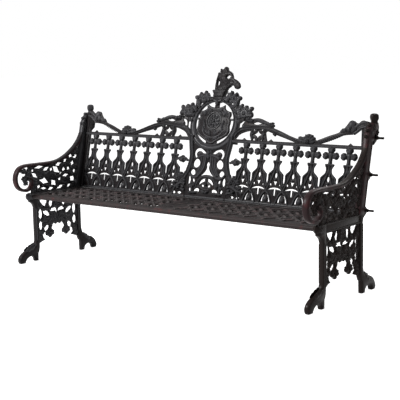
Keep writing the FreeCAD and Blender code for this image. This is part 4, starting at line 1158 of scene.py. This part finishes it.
def endFrame(sign, name, stileWearAndSheen, ground, raised):
    piece = newPiece()
    legs(piece, stileWearAndSheen)
    lugsAndHead(piece)
    arm(piece)
    armWeb(piece)
    archWeb(piece)
    boss(piece, (108, 410), 25, 0, 19)
    for side in (-1, 1):
        leaf(piece, (140, 396), 160, 52, 30, side * 12, 9, 3, -30, side)
        leaf(piece, (150, 420), 190, 56, 28, side * 12, 9, 3, 20, side)
    block(piece, (172, 396, -46), (500, 406, -10))  # ledge under the seat's end
    makeObject([(piece, sidePlane(sign))], "casting_" + name, [ground, ironRubbed, raised], "casting", name)


# the right end in the darker paint throughout, ground and relief alike: painted shade
endFrame(1, "end_frame_right", 1, ironShadedEnd, ironShadedEnd)
# the left stile in the lighter raised paint: a painted highlight on its shaded inner face
endFrame(-1, "end_frame_left", 2, ironBlack, ironRaisedWearAndSheen)
print("end frames made")


# Three threaded rods through the right stile; their thread is drawn coarser than the real 1.25 mm, to show
rod = {"radius": 6.5, "depth": 0.6, "pitch": 3, "chamfer": 1, "from": -26, "to": 60}


def studs():
    piece = newPiece()
    radius, chamfer, low, high = rod["radius"], rod["chamfer"], rod["from"], rod["to"]
    profile = [(radius - chamfer, low)]
    for k in range(int((high - low - 2 * chamfer) / rod["pitch"])):
        start = low + chamfer + k * rod["pitch"]
        profile += [(radius, start), (radius - rod["depth"], start + rod["pitch"] / 2)]
    profile += [(radius, high - chamfer), (radius - chamfer, high)]
    for u, v in leg["lugs"]:
        lathe(piece, profile, (u, v, 0), 14, upright=False, finish=0)
    makeObject([(piece, sidePlane(1))], "rods_right", [steelRusty], "fastener", "back_studs_right")


studs()


# Seat panels
seat = {
    "start": 0.2, "end": 1030, "front": 128, "rear": 522, "roll": 14, "top": 424, "thick": 9, "rim": 40,
    "columns": 8, "rows": 3, "rearRim": 10, "lozenge": 0.9, "eyeLong": 78, "eyeWide": 24, "eyeStep": 18,
    "leafLong": 42, "leafWide": 15,
}


def seatPanel(sign, name):
    s = seat
    piece = newPiece()
    start, end, top, front = s["start"], s["end"], s["top"], s["front"] + s["roll"]
    a = (end - start - 2 * s["rim"]) / s["columns"] / 2
    b = (s["rear"] - s["rearRim"] - front) / s["rows"] / 2
    reach, rise, tilt = a * s["lozenge"], b * s["lozenge"], math.degrees(math.atan2(b, a))
    outlines = [rectangle((start, s["front"]), (end, s["rear"]))]
    for i in range(1, 2 * s["columns"]):
        for j in range(1, 2 * s["rows"]):
            u, v = start + s["rim"] + i * a, front + j * b
            if (i + j) % 2:  # rosettes where the straps cross
                boss(piece, (u, v), 13, top - 1, 5, 4, 0.25, False)
                continue
            edge = [(u - reach, v, 1), (u, v + rise, 1), (u + reach, v, 1), (u, v - rise, 1)]
            bar(piece, edge, 2.6, top, 0.9, closed=True, steps=2)
            boss(piece, (u, v), 10, top - 1, 5, 5, 0.2, False)
            # a leaf along each lozenge with an opening on each side; rows lean by turns
            way = tilt if j % 2 else 180 - tilt
            turn = math.radians(way + 90)
            for k in (-1, 1):
                leaf(piece, (u, v), way + 90 + 90 * k, s["leafLong"], s["leafWide"], top - 1, 6, 2)
                eye = (u + k * s["eyeStep"] * math.cos(turn), v + k * s["eyeStep"] * math.sin(turn))
                outlines.append(pointed(eye, s["eyeLong"], s["eyeWide"], way))
    plate(piece, outlines, s["thick"], 1.6, top - s["thick"] / 2, 2)
    for u in (start + 5, end - 5):
        bar(piece, [(u, front), (u, s["rear"])], 3, top, 0.7)
    turns = np.linspace(0, 2 * math.pi, 17)[:-1]
    roll = [(s["front"] + s["roll"] * math.cos(q), top - s["roll"] + s["roll"] * math.sin(q)) for q in turns]
    addFaces(piece, [(u, v, w) for u in (start, end) for v, w in roll], skin(2, len(roll)), 1)
    moulding(piece, [(start, s["rear"] - 1), (end, s["rear"] - 1)], softSection(9, 400, top, 2))
    # the lattice's ridges and rims in the lighter paint: partly polished wear, partly painted highlight
    materials = [ironSeat, ironEdge, ironSeatRidgeWearAndSheen]
    makeObject([(piece, seatPlane(sign))], "casting_" + name, materials, "casting", name)


seatPanel(1, "seat_panel_right")
seatPanel(-1, "seat_panel_left")
print("seat panels made")

castings = ("end_frame", "back_wing", "back_centre", "crest_head", "seat_panel")
for name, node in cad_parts.items():  # rolled bearers and fasteners keep their solids
    if not name.startswith(castings) and name not in ("shield", "back_studs_right"):
        node.data.materials.clear()
        node.data.materials.append(ironBlack if "bearer" in name else steelRusty)


# Camera at the photograph's viewing angle
view = {
    "place": (3.707, -4.117, 1.335), "yaw": 38.78, "pitch": 8.70, "roll": -1.14,
    "lens": 91.9, "sensor": 36, "shift": -0.00275,
}


def addCamera():
    yaw, pitch, roll = (math.radians(view[k]) for k in ("yaw", "pitch", "roll"))
    right = Vector((math.cos(yaw), math.sin(yaw), 0))
    ahead = Vector((-math.sin(yaw) * math.cos(pitch), math.cos(yaw) * math.cos(pitch), -math.sin(pitch)))
    up = right.cross(ahead)
    turnedRight = right * math.cos(roll) + up * math.sin(roll)
    turnedUp = up * math.cos(roll) - right * math.sin(roll)
    data = bpy.data.cameras.new("camera")
    data.lens, data.sensor_width, data.shift_y = view["lens"], view["sensor"], view["shift"]
    camera = bpy.data.objects.new("camera", data)
    place = Vector(view["place"]) + Vector((benchMid, benchFront, 0))
    turned = Matrix((turnedRight, turnedUp, -ahead)).transposed().to_4x4()
    camera.matrix_world = Matrix.Translation(place) @ turned
    bpy.context.scene.collection.objects.link(camera)
    bpy.context.scene.camera = camera


addCamera()


# Pale floor, white surroundings and soft lamps
studio = {
    "floor": "d2d2d2", "floorSize": 60, "floorRough": 0.9, "lift": 0.9, "ambient": 0.2, "aim": (0, 0, 0.5),
    "lamps": (((-2.8, -4.0, 3.9), 415, 1.4), ((3.2, -2.0, 3.4), 8, 0.6), ((0.5, 3.2, 3.8), 120, 2.0)),
}


def directRays(tree):  # 1 for what the camera sees, straight or through a reflection
    rays = addNode(tree, "ShaderNodeLightPath", {})
    seen = rays.outputs["Is Camera Ray"]
    for kind in ("Is Glossy Ray", "Is Transmission Ray"):
        links = [(0, seen), (1, rays.outputs[kind])]
        seen = addNode(tree, "ShaderNodeMath", {"operation": "MAXIMUM"}, links).outputs[0]
    return seen


def addStudio():
    mesh = bpy.data.meshes.new("floor")
    half = studio["floorSize"] / 2
    corners = [(-half, -half, 0), (half, -half, 0), (half, half, 0), (-half, half, 0)]
    mesh.from_pydata(corners, [], [(0, 1, 2, 3)])
    floor = bpy.data.objects.new("floor", mesh)
    bpy.context.scene.collection.objects.link(floor)
    paper = bpy.data.materials.new("whitePaper")  # matt paper: seen lifted to white, while the shadow stays
    paper.use_nodes = True
    tree = paper.node_tree
    shader = tree.nodes["Principled BSDF"]
    shader.inputs["Base Color"].default_value = hexColour(studio["floor"])
    shader.inputs["Roughness"].default_value = studio["floorRough"]
    times = {"operation": "MULTIPLY", 1: studio["lift"]}
    lift = addNode(tree, "ShaderNodeMath", times, [(0, directRays(tree))])
    shader.inputs["Emission Color"].default_value = (1, 1, 1, 1)
    tree.links.new(lift.outputs[0], shader.inputs["Emission Strength"])
    mesh.materials.append(paper)
    world = bpy.data.worlds.new("surroundings")
    bpy.context.scene.world = world
    world.use_nodes = True
    tree = world.node_tree
    span = {"To Min": studio["ambient"], "To Max": 1.0}
    strength = addNode(tree, "ShaderNodeMapRange", span, [("Value", directRays(tree))])
    tree.nodes["Background"].inputs["Color"].default_value = (1, 1, 1, 1)
    tree.links.new(strength.outputs["Result"], tree.nodes["Background"].inputs["Strength"])
    for place, power, size in studio["lamps"]:
        lamp = bpy.data.lights.new("softLamp", "AREA")
        lamp.energy, lamp.size = power, size
        holder = bpy.data.objects.new("softLamp", lamp)
        holder.location = place
        towards = Vector(studio["aim"]) - Vector(place)
        holder.rotation_euler = towards.to_track_quat("-Z", "Y").to_euler()
        bpy.context.scene.collection.objects.link(holder)


addStudio()
bpy.context.scene.view_settings.view_transform = "Standard"
print("camera and studio set")
